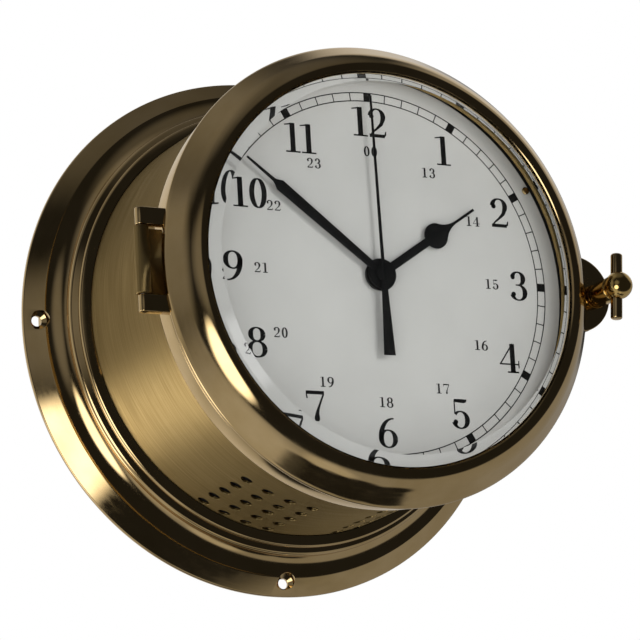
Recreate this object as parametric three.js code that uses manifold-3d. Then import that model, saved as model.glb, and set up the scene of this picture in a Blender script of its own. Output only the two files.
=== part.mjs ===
// A ship's clock: a brass drum on a turned wall flange, with a hinged bezel that a barrel screw holds shut.
// Everything is built face up, as on a bench: x to 3 o'clock, y to 12 o'clock and z forward from the wall.
// At the end the whole clock is stood upright, so that it faces -Y with 12 o'clock at +Z.

import * as THREE from 'three';
import { mergeVertices } from 'three/addons/utils/BufferGeometryUtils.js';
import Module from 'manifold-3d';

const wasm = await Module();
wasm.setup();

// Clearances
const seatGap = 0.3; // between pieces that rest on or in each other
const runningGap = 0.35; // round a shaft that turns in its hole
const handGap = 3.85; // between the second hand and the glass
const overrun = 1; // how far a cutter runs past the face it cuts

// Drum: every radius of the case is counted from it
const drumRadius = 72;
const drumWall = 1.2;
const drumLength = 76.8;
const soundHoleRadius = 2.1;
const soundRows = 5;
const soundColumns = 4;
const soundPitch = 8.25;
const soundFirstRow = 17.3; // from the drum's back edge
const soundFirstColumnAngle = 10.3; // degrees from straight down

// Wall flange
const flangeWidth = 17.7; // from the drum's seat to the rim
const rimHeight = 2.2;
const rimRound = 0.8;
const slopeWidth = 5.8;
const slopeTopHeight = 6.8;
const slopeTopLand = 0.6;
const collarWidth = 5.7;
const collarFootHeight = 10.6;
const upperBeadRound = 1.5;
const lowerBeadRound = 2.2;
const collarEdge = 0.5;
const upperBeadStart = -60; // degrees from the radius
const flangeLipWidth = 2.4;
const flangeLipHeight = 2.4;
const screwInset = 4.2; // of the screw circle, from the rim
const screwCount = 4;
const screwHoleRadius = 1.8;
const countersinkRadius = 3.2;
const countersinkDepth = 1.1;
const screwLandHeight = 4.4;
const backGrooveDepth = 2.4; // of the hollow back, under the screw holes
const backGrooveMargin = 0.3; // on either side of the screw holes

// Case front ring
const frontRingHeight = 9.2;
const frontRingProud = 3.2; // beyond the drum's outside
const frontRingHeel = 1.4;
const frontRingRound = 1.6;
const frontRingRoundStart = -50; // degrees from the radius
const frontRingChamfer = 0.5;
const frontRingLipWidth = 1.4;
const frontRingLipHeight = 1.2;

// Dial and its seat
const dialDrop = 0.15; // of the dial's face, behind the case front ring's face
const dialInset = 4.5; // of the dial's edge, inside the drum's outside
const dialThickness = 0.8;
const dialSeatDepth = 9;
const dialSeatWall = 1.6;
const dialSeatShelf = 4.5;
const dialScrewInset = 1.6;
const dialScrewHeadRadius = 1.3;
const dialScrewHeadHeight = 0.6;
const dialScrewRadius = 0.7;
const dialScrewLength = 4.5;
const dialScrewCount = 3;
const minuteTrackInset = 7.0; // of the printed minute track, from the dial's edge
const numeralInset = 8.7; // of the numerals' circle, from the minute track

// Bezel
const bezelProud = 5.0;
const bezelRearInset = 1.4;
const bezelWidestRise = 3.2; // above its back face
const bezelBulge = 0.2; // of the outside slope: 0 is a plain cone and 1 a quarter of an ellipse
const bezelCrestInset = 7.5;
const bezelCrestRise = 1.7; // above the opening's edge
const bezelOpeningInset = 11.6;
const bezelLipThickness = 0.5; // at the opening, over the glass's bevel
const bezelRebateInset = 7.4;
const bezelChamfer = 0.5;

// Glass, flat with a bevelled edge, and what holds it in the bezel
const glassThickness = 8.5;
const glassBevelInset = 3.4; // of the flat's edge, inside the bezel's opening
const glassBevelAngle = 45; // degrees from the flat
const gasketThickness = 1.0;
const gasketWidth = 3.2;
const retainerThickness = 1.6;
const retainerWidth = 3.8;

// Hinge at 9 o'clock and latch at 3 o'clock
const hingeOffset = 11.0; // of the pin's axis, beyond the drum's outside
const hingeLength = 34.0;
const hingeEarHeight = 5.6;
const hingePinRadius = 1.25;
const knuckleRadius = 2.4;
const knuckleArmThickness = 3.0;
const earThickness = 3.8;
const latchAngle = -1.0; // degrees from 3 o'clock, anticlockwise
const latchOffset = 10.0; // of the latch screw's axis, beyond the drum's outside
const latchEarRadius = 13.0;
const latchEarInset = 8.6; // of the ear's centre, inside the screw's axis
const latchLugRadius = 12.5;

// Latch screw
const latchTravel = 4.5;
const latchNeckRadius = 1.6;
const latchThreadRadius = 2.2;
const latchThreadLength = 4.2;
const latchThreadGap = 0.6;
const latchTipChamfer = 0.6;
const latchBarrelRadius = 4.1;
const latchBarrelLength = 8.6;
const latchBarrelChamfer = 0.5;
const latchBallRadius = 4.6;
const latchBallNeckRadius = 3.7;
const latchBallRise = 1.4; // of the ball's centre, above the cross bar's axis
const latchBarRadius = 1.95;
const latchBarTurn = -3.9; // degrees from square to the latch's radius, anticlockwise
const latchBarLength = 22.4;
const latchBarRound = 0.7;
const latchBarClearance = 0.2; // over the bezel's slope, as the bar turns
const latchWasherThickness = 0.6;
const latchWasherRadius = 3.6;

// Hands. Angles are clockwise from 12 o'clock, in degrees, at 1:51:36.
const hourAngle = 55.8;
const minuteAngle = 307.7;
const secondAngle = 359.2;
const hourHandHeight = 1.5; // back of each hand above the dial's face
const minuteHandHeight = 2.7;
const secondHandHeight = 3.7;
const hourHandThickness = 0.5;
const minuteHandThickness = 0.4;
const secondHandThickness = 0.3;
const hourHubRadius = 5.4;
const hourShaftWidth = 2.85;
const hourShortfall = 8.3; // of the tip, from the numerals' circle
const hourNeedleLength = 8.9;
const hourNeckLength = 8.8; // from the disc's centre to the needle's root
const hourDiscRadius = 4.3;
const hourFlankAngle = 50; // where the neck's hollow flank leaves the disc
const hourFlankPull = 2.0;
const hourTipWidth = 0.9;
const minuteShortfall = 1.9; // of the tip, from the minute track
const minuteHubRadius = 5.0;
const minuteRootWidth = 2.6;
const minuteShoulderWidth = 3.9;
const minuteShoulderLength = 2.4;
const minuteShoulderBulge = 2.4; // the shoulder's width half way to the needle
const minuteNeedleLength = 11.8;
const minuteNeckWidth = 1.2;
const minuteTipWidth = 0.7;
const secondShortfall = 0.5;
const secondHubRadius = 2.6;
const secondTipWidth = 0.8;
const secondRootWidth = 1.2;
const secondTailLength = 27.3;
const secondTailRootWidth = 2.0;
const secondTailWidth = 4.2;

// Arbors, one in the other
const secondPinRadius = 0.5;
const minuteTubeRadius = 1.45;
const hourTubeRadius = 2.4;
const bushRadius = 3.8;
const bushProud = 1.0; // in front of the dial's face
const nutAcrossFlats = 11;
const nutThickness = 0.8;
const rubberWasherRadius = 9;
const rubberWasherThickness = 0.8;
const hourWheelRadius = 7;
const minuteWheelRadius = 8.5;
const secondWheelRadius = 6;
const wheelThickness = 0.8;
const wheelGap = 1.2;

// Quartz movement behind the dial
const movementSize = 56;
const movementCorner = 4;
const movementDepth = 16.5;
const movementWall = 1.3;
const movementWheelRoom = 1.3; // between the largest wheel and the battery's wall
const movementCoverThickness = 1.6;
const batteryRadius = 7.1;
const batteryLength = 49;
const batteryChamfer = 0.6;
const batteryCapRadius = 2.7;
const batteryCapLength = 1.2;
const batteryGap = 0.5;
const contactThickness = 0.4;
const contactWidth = 8;
const contactRoom = 1.6;
const knobOffsetX = 14;
const knobOffsetY = 8;
const knobRadius = 6;
const knobHeight = 4;
const knobFlutes = 18;
const knobFluteDepth = 0.4;
const knobShaftRadius = 1.2;
const knobShaftDepth = 6;

// Loudspeaker for the strike, over the sound holes
const speakerStandoff = 14.8; // of its bracket, above the drum's floor
const speakerRadius = 20;
const speakerConeRadius = 16.5;
const speakerConeDepth = 5.5;
const speakerConeThickness = 0.5;
const speakerConeFlat = 1.2;
const speakerThroatRadius = 5;
const speakerFrameThickness = 1.0;
const speakerMagnetRadius = 9;
const speakerMagnetHeight = 5;
const bracketThickness = 1.2;
const bracketLength = 46;
const bracketFoot = 7;
const bracketMouthGap = 0.5;

// How finely round things are faceted
const bigFacets = 72;
const beadFacets = 4;
const middleFacets = 36;
const smallFacets = 20;
const holeFacets = 10;

const degree = Math.PI / 180;
const quarterTurn = Math.PI / 2;
const point = (x, y) => new THREE.Vector2(x, y);

// Colours
const finish = {
  polishedBrass: { color: 0xb08d4f, roughness: 0.12, metalness: 1 },
  satinBrass: { color: 0xa88a58, roughness: 0.38, metalness: 1 },
  goldBrass: { color: 0xc59a3c, roughness: 0.15, metalness: 1 },
  steel: { color: 0x9a9a98, roughness: 0.3, metalness: 1 },
  dialPaint: { color: 0xd2d2cf, roughness: 0.6, metalness: 0 },
  handPaint: { color: 0x101010, roughness: 0.45, metalness: 0.2 },
  glass: { color: 0xdfe8ea, roughness: 0.02, metalness: 0, transparent: true, opacity: 0.35 },
  rubber: { color: 0x161616, roughness: 0.85, metalness: 0 },
  blackPlastic: { color: 0x1d1d1f, roughness: 0.5, metalness: 0 },
  blackSteel: { color: 0x1c1c1c, roughness: 0.5, metalness: 0.3 },
  paper: { color: 0x2a2a28, roughness: 0.9, metalness: 0 },
  ferrite: { color: 0x3b3b3d, roughness: 0.6, metalness: 0.3 },
  cellWrap: { color: 0x3d5f7a, roughness: 0.35, metalness: 0.4 },
};

// A geometry as an indexed, closed and outward-facing triangle mesh with positions alone.
function closedMesh(geometry) {
  const bare = geometry.clone();
  bare.deleteAttribute('normal');
  bare.deleteAttribute('uv');
  const merged = mergeVertices(bare, 1e-4);
  const position = merged.attributes.position;
  const index = merged.index.array;
  const corners = [];
  let volume = 0;
  const [a, b, c] = [new THREE.Vector3(), new THREE.Vector3(), new THREE.Vector3()];
  for (let i = 0; i < index.length; i += 3) {
    const [p, q, r] = [index[i], index[i + 1], index[i + 2]];
    if (p === q || q === r || r === p) continue;
    corners.push(p, q, r);
    a.fromBufferAttribute(position, p);
    b.fromBufferAttribute(position, q);
    c.fromBufferAttribute(position, r);
    volume += a.dot(b.cross(c));
  }
  if (volume < 0) corners.reverse();
  return { vertProperties: position.array, triVerts: new Uint32Array(corners) };
}

function solid(geometry) {
  const { vertProperties, triVerts } = closedMesh(geometry);
  return new wasm.Manifold(new wasm.Mesh({ numProp: 3, vertProperties, triVerts }));
}

function geometryOf(manifold) {
  const { vertProperties, triVerts } = manifold.getMesh();
  const geometry = new THREE.BufferGeometry();
  geometry.setAttribute('position', new THREE.BufferAttribute(new Float32Array(vertProperties), 3));
  geometry.setIndex(new THREE.BufferAttribute(new Uint32Array(triVerts), 1));
  geometry.computeVertexNormals();
  return geometry;
}

function cut(body, ...tools) {
  return tools.reduce((left, tool) => left.subtract(tool), body);
}

function join(body, ...others) {
  return others.reduce((sum, other) => sum.add(other), body);
}

// A profile of (radius, height) points turned round the z axis.
function turned(profile, facets = bigFacets) {
  return new THREE.LatheGeometry(profile, facets).rotateX(Math.PI / 2);
}

// A ring with a rectangular section, or a disc where the inner radius is 0.
function ring(inner, outer, low, high, facets = bigFacets) {
  const section = [point(inner, low), point(outer, low), point(outer, high), point(inner, high)];
  if (inner > 0) section.push(point(inner, low));
  return turned(section, facets);
}

function rod(radius, low, high, x = 0, y = 0, facets = smallFacets) {
  return ring(0, radius, low, high, facets).translate(x, y, 0);
}

function extruded(shape, low, high, curveSegments = 12) {
  const options = { depth: high - low, bevelEnabled: false, curveSegments };
  return new THREE.ExtrudeGeometry(shape, options).translate(0, 0, low);
}

function block(x0, x1, y0, y1, z0, z1) {
  const geometry = new THREE.BoxGeometry(x1 - x0, y1 - y0, z1 - z0);
  return geometry.translate((x0 + x1) / 2, (y0 + y1) / 2, (z0 + z1) / 2);
}

// Points on an arc in the (radius, height) plane, angles in degrees from the radius axis.
function arc(centreRadius, centreHeight, radius, from, to, steps) {
  const points = [];
  for (let i = 0; i <= steps; i += 1) {
    const angle = (from + ((to - from) * i) / steps) * degree;
    points.push(point(centreRadius + radius * Math.cos(angle), centreHeight + radius * Math.sin(angle)));
  }
  return points;
}

function roundedRectangle(width, height, corner) {
  const [w, h] = [width / 2, height / 2];
  const shape = new THREE.Shape();
  shape.moveTo(-w + corner, -h);
  shape.lineTo(w - corner, -h);
  shape.absarc(w - corner, -h + corner, corner, -Math.PI / 2, 0, false);
  shape.lineTo(w, h - corner);
  shape.absarc(w - corner, h - corner, corner, 0, Math.PI / 2, false);
  shape.lineTo(-w + corner, h);
  shape.absarc(-w + corner, h - corner, corner, Math.PI / 2, Math.PI, false);
  shape.lineTo(-w, -h + corner);
  shape.absarc(-w + corner, -h + corner, corner, Math.PI, 1.5 * Math.PI, false);
  return shape;
}

const clock = new THREE.Group();
clock.name = 'ships_clock';
clock.rotation.x = Math.PI / 2;

function place(name, shape, look) {
  const geometry = shape.isBufferGeometry ? geometryOf(solid(shape)) : geometryOf(shape);
  const mesh = new THREE.Mesh(geometry, new THREE.MeshStandardMaterial(finish[look]));
  mesh.name = name;
  clock.add(mesh);
  return mesh;
}

// Wall flange: a rounded rim, a slope, a cove and a collar of two beads round the drum
const flangeBore = drumRadius + seatGap;
const flangeRadius = flangeBore + flangeWidth;
const flangeLipRadius = flangeBore - flangeLipWidth;
const slopeTopRadius = flangeRadius - slopeWidth;
const collarFootRadius = flangeBore + collarWidth;
const lowerBeadCentre = collarFootHeight + lowerBeadRound * Math.sin(Math.PI / 6);
const upperBeadCentre = lowerBeadCentre + lowerBeadRound + upperBeadRound;
const upperBeadRadius = flangeBore + upperBeadRound + collarEdge;
const collarHeight = upperBeadCentre + upperBeadRound;

function mountingFlange() {
  const coveStart = slopeTopRadius - slopeTopLand;
  const coveWidth = coveStart - collarFootRadius;
  const coveRise = collarFootHeight - slopeTopHeight;
  const coveSteps = 5;
  const cove = [];
  for (let i = 0; i <= coveSteps; i += 1) {
    const t = (i / coveSteps) * quarterTurn;
    cove.push(point(coveStart - coveWidth * Math.sin(t), slopeTopHeight + coveRise * (1 - Math.cos(t))));
  }
  const screwCircleRadius = flangeRadius - screwInset;
  const grooveInner = screwCircleRadius - screwHoleRadius - backGrooveMargin;
  const grooveOuter = screwCircleRadius + screwHoleRadius + backGrooveMargin;
  const profile = [
    point(flangeLipRadius, 0),
    point(grooveInner, 0),
    point(grooveInner, backGrooveDepth),
    point(grooveOuter, backGrooveDepth),
    point(grooveOuter, 0),
    point(flangeRadius - rimRound, 0),
    point(flangeRadius, rimRound),
    point(flangeRadius, rimHeight - rimRound),
    point(flangeRadius - rimRound, rimHeight),
    point(slopeTopRadius, slopeTopHeight),
    ...cove,
    ...arc(collarFootRadius - lowerBeadRound, lowerBeadCentre, lowerBeadRound, 0, 90, beadFacets),
    ...arc(upperBeadRadius, upperBeadCentre, upperBeadRound, upperBeadStart, 90, beadFacets),
    point(flangeBore, collarHeight - collarEdge),
    point(flangeBore, flangeLipHeight),
    point(flangeLipRadius, flangeLipHeight),
    point(flangeLipRadius, 0),
  ];
  const holes = [];
  for (let i = 0; i < screwCount; i += 1) {
    const angle = (i * 2 * Math.PI) / screwCount;
    const [x, y] = [screwCircleRadius * Math.cos(angle), screwCircleRadius * Math.sin(angle)];
    const sink = turned([
      point(0, screwLandHeight - countersinkDepth),
      point(screwHoleRadius, screwLandHeight - countersinkDepth),
      point(countersinkRadius, screwLandHeight),
      point(countersinkRadius, collarFootHeight),
      point(0, collarFootHeight),
    ], smallFacets);
    holes.push(solid(rod(screwHoleRadius, -overrun, screwLandHeight, x, y)));
    holes.push(solid(sink.translate(x, y, 0)));
  }
  return cut(solid(turned(profile)), ...holes);
}
place('mounting_flange', mountingFlange(), 'polishedBrass');

// Drum: an open brass tube with two groups of sound holes underneath
const drumBackHeight = flangeLipHeight + seatGap;
const drumFrontHeight = drumBackHeight + drumLength;
const drumBore = drumRadius - drumWall;
const soundFirstRowHeight = drumBackHeight + soundFirstRow;

function caseDrum() {
  const tube = solid(ring(drumBore, drumRadius, drumBackHeight, drumFrontHeight));
  const drills = [];
  const columnStep = soundPitch / drumRadius / degree;
  for (const side of [-1, 1]) {
    for (let column = 0; column < soundColumns; column += 1) {
      for (let row = 0; row < soundRows; row += 1) {
        const angle = side * (soundFirstColumnAngle + column * columnStep) * degree;
        const drill = rod(soundHoleRadius, drumBore - overrun, drumRadius + overrun, 0, 0, holeFacets);
        drill.rotateX(Math.PI / 2).rotateZ(angle).translate(0, 0, soundFirstRowHeight + row * soundPitch);
        drills.push(solid(drill));
      }
    }
  }
  return cut(tube, ...drills);
}
place('case_drum', caseDrum(), 'satinBrass');

// Case front ring: closes the drum's front edge, and carries the hinge knuckle and the latch lug
const partingHeight = drumFrontHeight + seatGap + frontRingLipHeight;
const frontRingBack = partingHeight - frontRingHeight;
const frontRingBore = drumRadius + seatGap;
const frontRingRadius = drumRadius + frontRingProud;
const frontRingLipRadius = frontRingBore - frontRingLipWidth;
const bezelRearHeight = partingHeight + seatGap;
const hingeReach = drumRadius + hingeOffset;
const hingeAxisHeight = bezelRearHeight + earThickness / 2;
const knuckleHalf = hingeLength / 2 - hingeEarHeight - seatGap;
const latchReach = drumRadius + latchOffset;
const latchEarCentre = latchReach - latchEarInset;
const latchHoleRadius = latchThreadRadius + latchThreadGap;

// A piece of the latch, built at 3 o'clock, turned about the clock's axis to its place.
function atLatch(geometry) {
  return geometry.rotateZ(latchAngle * degree);
}

function caseFrontRing() {
  const frontRingRoundHeight = frontRingBack + 1.5 * frontRingRound;
  const roundCentre = frontRingRadius - frontRingRound;
  const body = solid(turned([
    point(frontRingBore, frontRingBack),
    point(drumRadius + frontRingHeel, frontRingBack),
    ...arc(roundCentre, frontRingRoundHeight, frontRingRound, frontRingRoundStart, 0, beadFacets),
    point(frontRingRadius, partingHeight - 2 * frontRingChamfer),
    point(frontRingRadius - frontRingChamfer, partingHeight),
    point(frontRingLipRadius, partingHeight),
    point(frontRingLipRadius, partingHeight - frontRingLipHeight),
    point(frontRingBore, partingHeight - frontRingLipHeight),
    point(frontRingBore, frontRingBack),
  ]));
  const lipBack = partingHeight - frontRingLipHeight;
  const keepOut = solid(rod(frontRingBore, frontRingBack - overrun, lipBack, 0, 0, bigFacets));
  const armLow = partingHeight - knuckleArmThickness;
  const arm = solid(block(-hingeReach, -frontRingBore, -knuckleHalf, knuckleHalf, armLow, partingHeight));
  const webInner = -hingeReach + knuckleRadius;
  const web = solid(block(-hingeReach, webInner, -knuckleHalf, knuckleHalf, armLow, hingeAxisHeight));
  const alongY = (geometry) => geometry.rotateX(Math.PI / 2).translate(-hingeReach, 0, hingeAxisHeight);
  const knuckle = solid(alongY(rod(knuckleRadius, -knuckleHalf, knuckleHalf)));
  const pinHoleHalf = knuckleHalf + overrun;
  const pinHole = solid(alongY(rod(hingePinRadius + seatGap, -pinHoleHalf, pinHoleHalf)));
  const lugShape = new THREE.Shape();
  lugShape.absarc(latchEarCentre, 0, latchLugRadius, -Math.PI / 2, Math.PI / 2, false);
  lugShape.lineTo(frontRingLipRadius + overrun, latchLugRadius);
  lugShape.lineTo(frontRingLipRadius + overrun, -latchLugRadius);
  const lug = cut(solid(atLatch(extruded(lugShape, frontRingBack, partingHeight))), keepOut);
  const holeEnds = [frontRingBack - overrun, partingHeight + overrun];
  const screwHole = solid(atLatch(rod(latchHoleRadius, ...holeEnds, latchReach)));
  return cut(join(body, cut(arm, keepOut), web, knuckle, lug), pinHole, screwHole);
}
place('case_front_ring', caseFrontRing(), 'polishedBrass');

function hingePin() {
  const half = hingeLength / 2;
  const pin = rod(hingePinRadius, -half, half);
  return pin.rotateX(Math.PI / 2).translate(-hingeReach, 0, hingeAxisHeight);
}
place('hinge_pin', hingePin(), 'steel');

// Dial seat: a ring in the drum's mouth, with a shelf that the dial lies on
const dialRadius = drumRadius - dialInset;
const dialHeight = partingHeight - dialDrop;
const dialBack = dialHeight - dialThickness;
const seatFront = dialBack - seatGap;
const seatShoulder = partingHeight - frontRingLipHeight - seatGap;

function dialSeat() {
  const outer = drumBore - seatGap;
  const neck = Math.min(frontRingLipRadius - seatGap, dialRadius + seatGap);
  const inner = dialRadius - dialSeatShelf;
  return turned([
    point(outer - dialSeatWall, seatShoulder - dialSeatDepth),
    point(outer, seatShoulder - dialSeatDepth),
    point(outer, seatShoulder),
    point(neck, seatShoulder),
    point(neck, seatFront),
    point(inner, seatFront),
    point(inner, seatShoulder - dialSeatWall),
    point(outer - dialSeatWall, seatShoulder - dialSeatWall),
    point(outer - dialSeatWall, seatShoulder - dialSeatDepth),
  ]);
}

function dialScrewPlaces() {
  const dialScrewCircleRadius = dialRadius - dialScrewInset;
  const places = [];
  for (let i = 0; i < dialScrewCount; i += 1) {
    const angle = Math.PI / 2 + (2 * Math.PI * (i + 0.5)) / dialScrewCount;
    places.push([dialScrewCircleRadius * Math.cos(angle), dialScrewCircleRadius * Math.sin(angle)]);
  }
  return places;
}
const dialScrewHoles = dialScrewPlaces().map(([x, y]) => solid(
  rod(dialScrewRadius + seatGap, seatShoulder - dialSeatDepth, dialHeight + overrun, x, y, holeFacets),
));
place('dial_seat_ring', cut(solid(dialSeat()), ...dialScrewHoles), 'blackPlastic');

const bushHole = solid(rod(bushRadius + seatGap, dialBack - overrun, dialHeight + overrun, 0, 0));
const dialSheet = solid(ring(0, dialRadius, dialBack, dialHeight));
place('dial_plate', cut(dialSheet, bushHole, ...dialScrewHoles), 'dialPaint');

dialScrewPlaces().forEach(([x, y], i) => {
  const head = dialHeight + seatGap;
  const screw = turned([
    point(0, head - dialScrewLength),
    point(dialScrewRadius, head - dialScrewLength),
    point(dialScrewRadius, head),
    point(dialScrewHeadRadius, head),
    point(dialScrewHeadRadius, head + dialScrewHeadHeight / 2),
    point(dialScrewHeadRadius - dialScrewHeadHeight / 2, head + dialScrewHeadHeight),
    point(0, head + dialScrewHeadHeight),
  ], holeFacets);
  place(`dial_screw_${i + 1}`, screw.translate(x, y, 0), 'polishedBrass');
});

// Bezel: a heavy rounded ring with two hinge ears and a half-round latch ear, flush with its back face
const bezelRadius = drumRadius + bezelProud;
const bezelCrestRadius = bezelRadius - bezelCrestInset;
const bezelOpeningRadius = bezelRadius - bezelOpeningInset;
const bezelRebateRadius = bezelRadius - bezelRebateInset;
const bezelRearRadius = bezelRadius - bezelRearInset;
const glassRadius = bezelRebateRadius - seatGap;
const glassFlatRadius = bezelOpeningRadius - glassBevelInset;
const glassBack = dialHeight + secondHandHeight + secondHandThickness + handGap;
const glassFront = glassBack + glassThickness;
const glassBevelSlope = Math.tan(glassBevelAngle * degree);
const glassRimHeight = glassFront - glassBevelSlope * (glassRadius - glassFlatRadius);
const bezelLipBack = glassFront + seatGap - glassBevelSlope * glassBevelInset;
const bezelLipRoot = bezelLipBack - glassBevelSlope * (bezelRebateRadius - bezelOpeningRadius);
const bezelOpeningHeight = bezelLipBack + bezelLipThickness;
const bezelCrestHeight = bezelOpeningHeight + bezelCrestRise;
const bezelWidestHeight = bezelRearHeight + bezelWidestRise;
const latchEarHoleRadius = latchNeckRadius + runningGap;
const earFront = bezelRearHeight + earThickness;

// The outside slope from the widest circle to the crest, a cone with a slight bulge
function bezelOutside() {
  const widest = point(bezelRadius, bezelWidestHeight);
  const crest = point(bezelCrestRadius, bezelCrestHeight);
  const steps = 6;
  const points = [];
  for (let i = 0; i <= steps; i += 1) {
    const t = (i / steps) * quarterTurn;
    const straight = widest.clone().lerp(crest, i / steps);
    const round = point(
      crest.x + (widest.x - crest.x) * Math.cos(t),
      widest.y + (crest.y - widest.y) * Math.sin(t),
    );
    points.push(straight.lerp(round, bezelBulge));
  }
  return points;
}
const bezelSlope = bezelOutside();

// The height of the bezel's outside slope at a radius.
function slopeHeight(radius) {
  const after = bezelSlope.findIndex((corner) => corner.x <= radius);
  const [outer, inner] = [bezelSlope[after - 1], bezelSlope[after]];
  const share = (outer.x - radius) / (outer.x - inner.x);
  return outer.y + share * (inner.y - outer.y);
}

function bezelRing() {
  const innerReach = bezelCrestRadius - bezelOpeningRadius;
  const innerFall = bezelCrestHeight - bezelOpeningHeight;
  const inside = [];
  const insideSteps = 4;
  for (let i = 1; i <= insideSteps; i += 1) {
    const t = (i / insideSteps) * quarterTurn;
    const fall = innerFall * (1 - Math.cos(t));
    inside.push(point(bezelCrestRadius - innerReach * Math.sin(t), bezelCrestHeight - fall));
  }
  const body = solid(turned([
    point(bezelRebateRadius, bezelRearHeight),
    point(bezelRearRadius - bezelChamfer, bezelRearHeight),
    point(bezelRearRadius, bezelRearHeight + bezelChamfer),
    ...bezelSlope,
    ...inside,
    point(bezelOpeningRadius, bezelLipBack),
    point(bezelRebateRadius, bezelLipRoot),
    point(bezelRebateRadius, bezelRearHeight),
  ]));
  const boreEnds = [bezelRearHeight - overrun, earFront + overrun];
  const bore = solid(rod(bezelRebateRadius, ...boreEnds, 0, 0, bigFacets));
  const earEnd = hingeReach + earThickness / 2;
  const holeAlongPin = rod(hingePinRadius + runningGap, -hingeLength, hingeLength);
  holeAlongPin.rotateX(Math.PI / 2).translate(-hingeReach, 0, hingeAxisHeight);
  const pinHole = solid(holeAlongPin);
  const ears = [-1, 1].map((side) => {
    const outerY = side * (hingeLength / 2);
    const innerY = side * (hingeLength / 2 - hingeEarHeight);
    const [y0, y1] = [Math.min(outerY, innerY), Math.max(outerY, innerY)];
    const plate = solid(block(-hingeReach, -bezelRebateRadius, y0, y1, bezelRearHeight, earFront));
    const nose = rod(earThickness / 2, y0, y1).rotateX(Math.PI / 2);
    // rotateX turns z to -y, so the nose is mirrored back to its own side
    return join(plate, solid(nose.translate(-earEnd + earThickness / 2, y0 + y1, hingeAxisHeight)));
  });
  const earShape = new THREE.Shape();
  earShape.absarc(latchEarCentre, 0, latchEarRadius, -Math.PI / 2, Math.PI / 2, false);
  earShape.lineTo(bezelRebateRadius + overrun, latchEarRadius);
  earShape.lineTo(bezelRebateRadius + overrun, -latchEarRadius);
  const latchEar = solid(atLatch(extruded(earShape, bezelRearHeight, earFront)));
  const screwHole = solid(atLatch(rod(latchEarHoleRadius, ...boreEnds, latchReach)));
  const added = cut(join(latchEar, ...ears), bore);
  return cut(join(body, added), pinHole, screwHole);
}
place('bezel_ring', bezelRing(), 'polishedBrass');

function glassCrystal() {
  return turned([
    point(0, glassBack),
    point(glassRadius, glassBack),
    point(glassRadius, glassRimHeight),
    point(glassFlatRadius, glassFront),
    point(0, glassFront),
  ]);
}
place('glass_crystal', glassCrystal(), 'glass');

const gasketFront = glassBack - seatGap;
const gasketBack = gasketFront - gasketThickness;
const gasketBore = glassRadius - gasketWidth;
place('glass_gasket', ring(gasketBore, glassRadius, gasketBack, gasketFront), 'rubber');

const retainerFront = gasketBack - seatGap;
const retainerBack = retainerFront - retainerThickness;
const retainerBore = glassRadius - retainerWidth;
const retainer = ring(retainerBore, glassRadius, retainerBack, retainerFront);
place('glass_retaining_ring', retainer, 'satinBrass');

// Latch: a washer on the ear, a barrel screw through it and a cross bar through the barrel's ball end
const washerBack = earFront + seatGap;
const barrelBase = washerBack + latchWasherThickness + seatGap;
const barUnderside = slopeHeight(latchReach - latchBarLength / 2) + latchBarClearance;
const barAxisHeight = barUnderside + latchBarRadius;
const ballCentre = barAxisHeight + latchBallRise;
const threadShoulder = bezelRearHeight - seatGap - latchTravel;
const washerFront = washerBack + latchWasherThickness;
const washerBore = latchNeckRadius + seatGap;
const washer = ring(washerBore, latchWasherRadius, washerBack, washerFront, smallFacets);
place('latch_washer', atLatch(washer.translate(latchReach, 0, 0)), 'goldBrass');

// The cross bar's way through the ball, at a height on the latch screw's axis.
function acrossBall(geometry) {
  return geometry.rotateX(Math.PI / 2).rotateZ(latchBarTurn * degree).translate(0, 0, barAxisHeight);
}

function latchScrew() {
  const neckAngle = Math.asin(latchBallNeckRadius / latchBallRadius) / degree;
  const profile = [
    point(0, threadShoulder - latchThreadLength),
    point(latchThreadRadius - latchTipChamfer, threadShoulder - latchThreadLength),
    point(latchThreadRadius, threadShoulder - latchThreadLength + latchTipChamfer),
    point(latchThreadRadius, threadShoulder),
    point(latchNeckRadius, threadShoulder),
    point(latchNeckRadius, barrelBase),
    point(latchBarrelRadius, barrelBase),
    point(latchBarrelRadius, barrelBase + latchBarrelLength - latchBarrelChamfer),
    point(latchBarrelRadius - latchBarrelChamfer, barrelBase + latchBarrelLength),
    point(latchBallNeckRadius, barrelBase + latchBarrelLength),
    ...arc(0, ballCentre, latchBallRadius, -90 + neckAngle, 90, 2 * beadFacets),
  ];
  profile[profile.length - 1].x = 0;
  const holeHalf = latchBallRadius + overrun;
  const barHole = acrossBall(rod(latchBarRadius + seatGap, -holeHalf, holeHalf));
  const body = cut(solid(turned(profile, smallFacets)), solid(barHole));
  return atLatch(geometryOf(body).translate(latchReach, 0, 0));
}
place('latch_screw', latchScrew(), 'goldBrass');

function latchBar() {
  const half = latchBarLength / 2;
  const side = [
    ...arc(latchBarRadius - latchBarRound, -half + latchBarRound, latchBarRound, -90, 0, 2),
    ...arc(latchBarRadius - latchBarRound, half - latchBarRound, latchBarRound, 0, 90, 2),
  ];
  const bar = turned([point(0, -half), ...side, point(0, half)], smallFacets);
  return atLatch(acrossBall(bar).translate(latchReach, 0, 0));
}
place('latch_cross_bar', latchBar(), 'goldBrass');

// Hands: each outline runs out along +y from its hub and is turned clockwise to its time
function laidAt(geometry, angle) {
  return geometry.rotateZ(-angle * degree);
}

function hubbed(shape, hubRadius, boreRadius, back, thickness) {
  const plate = solid(extruded(shape, back, back + thickness));
  const hub = solid(rod(hubRadius, back, back + thickness, 0, 0, middleFacets));
  const bore = solid(rod(boreRadius, back - overrun, back + thickness + overrun));
  return geometryOf(cut(join(plate, hub), bore));
}

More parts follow.
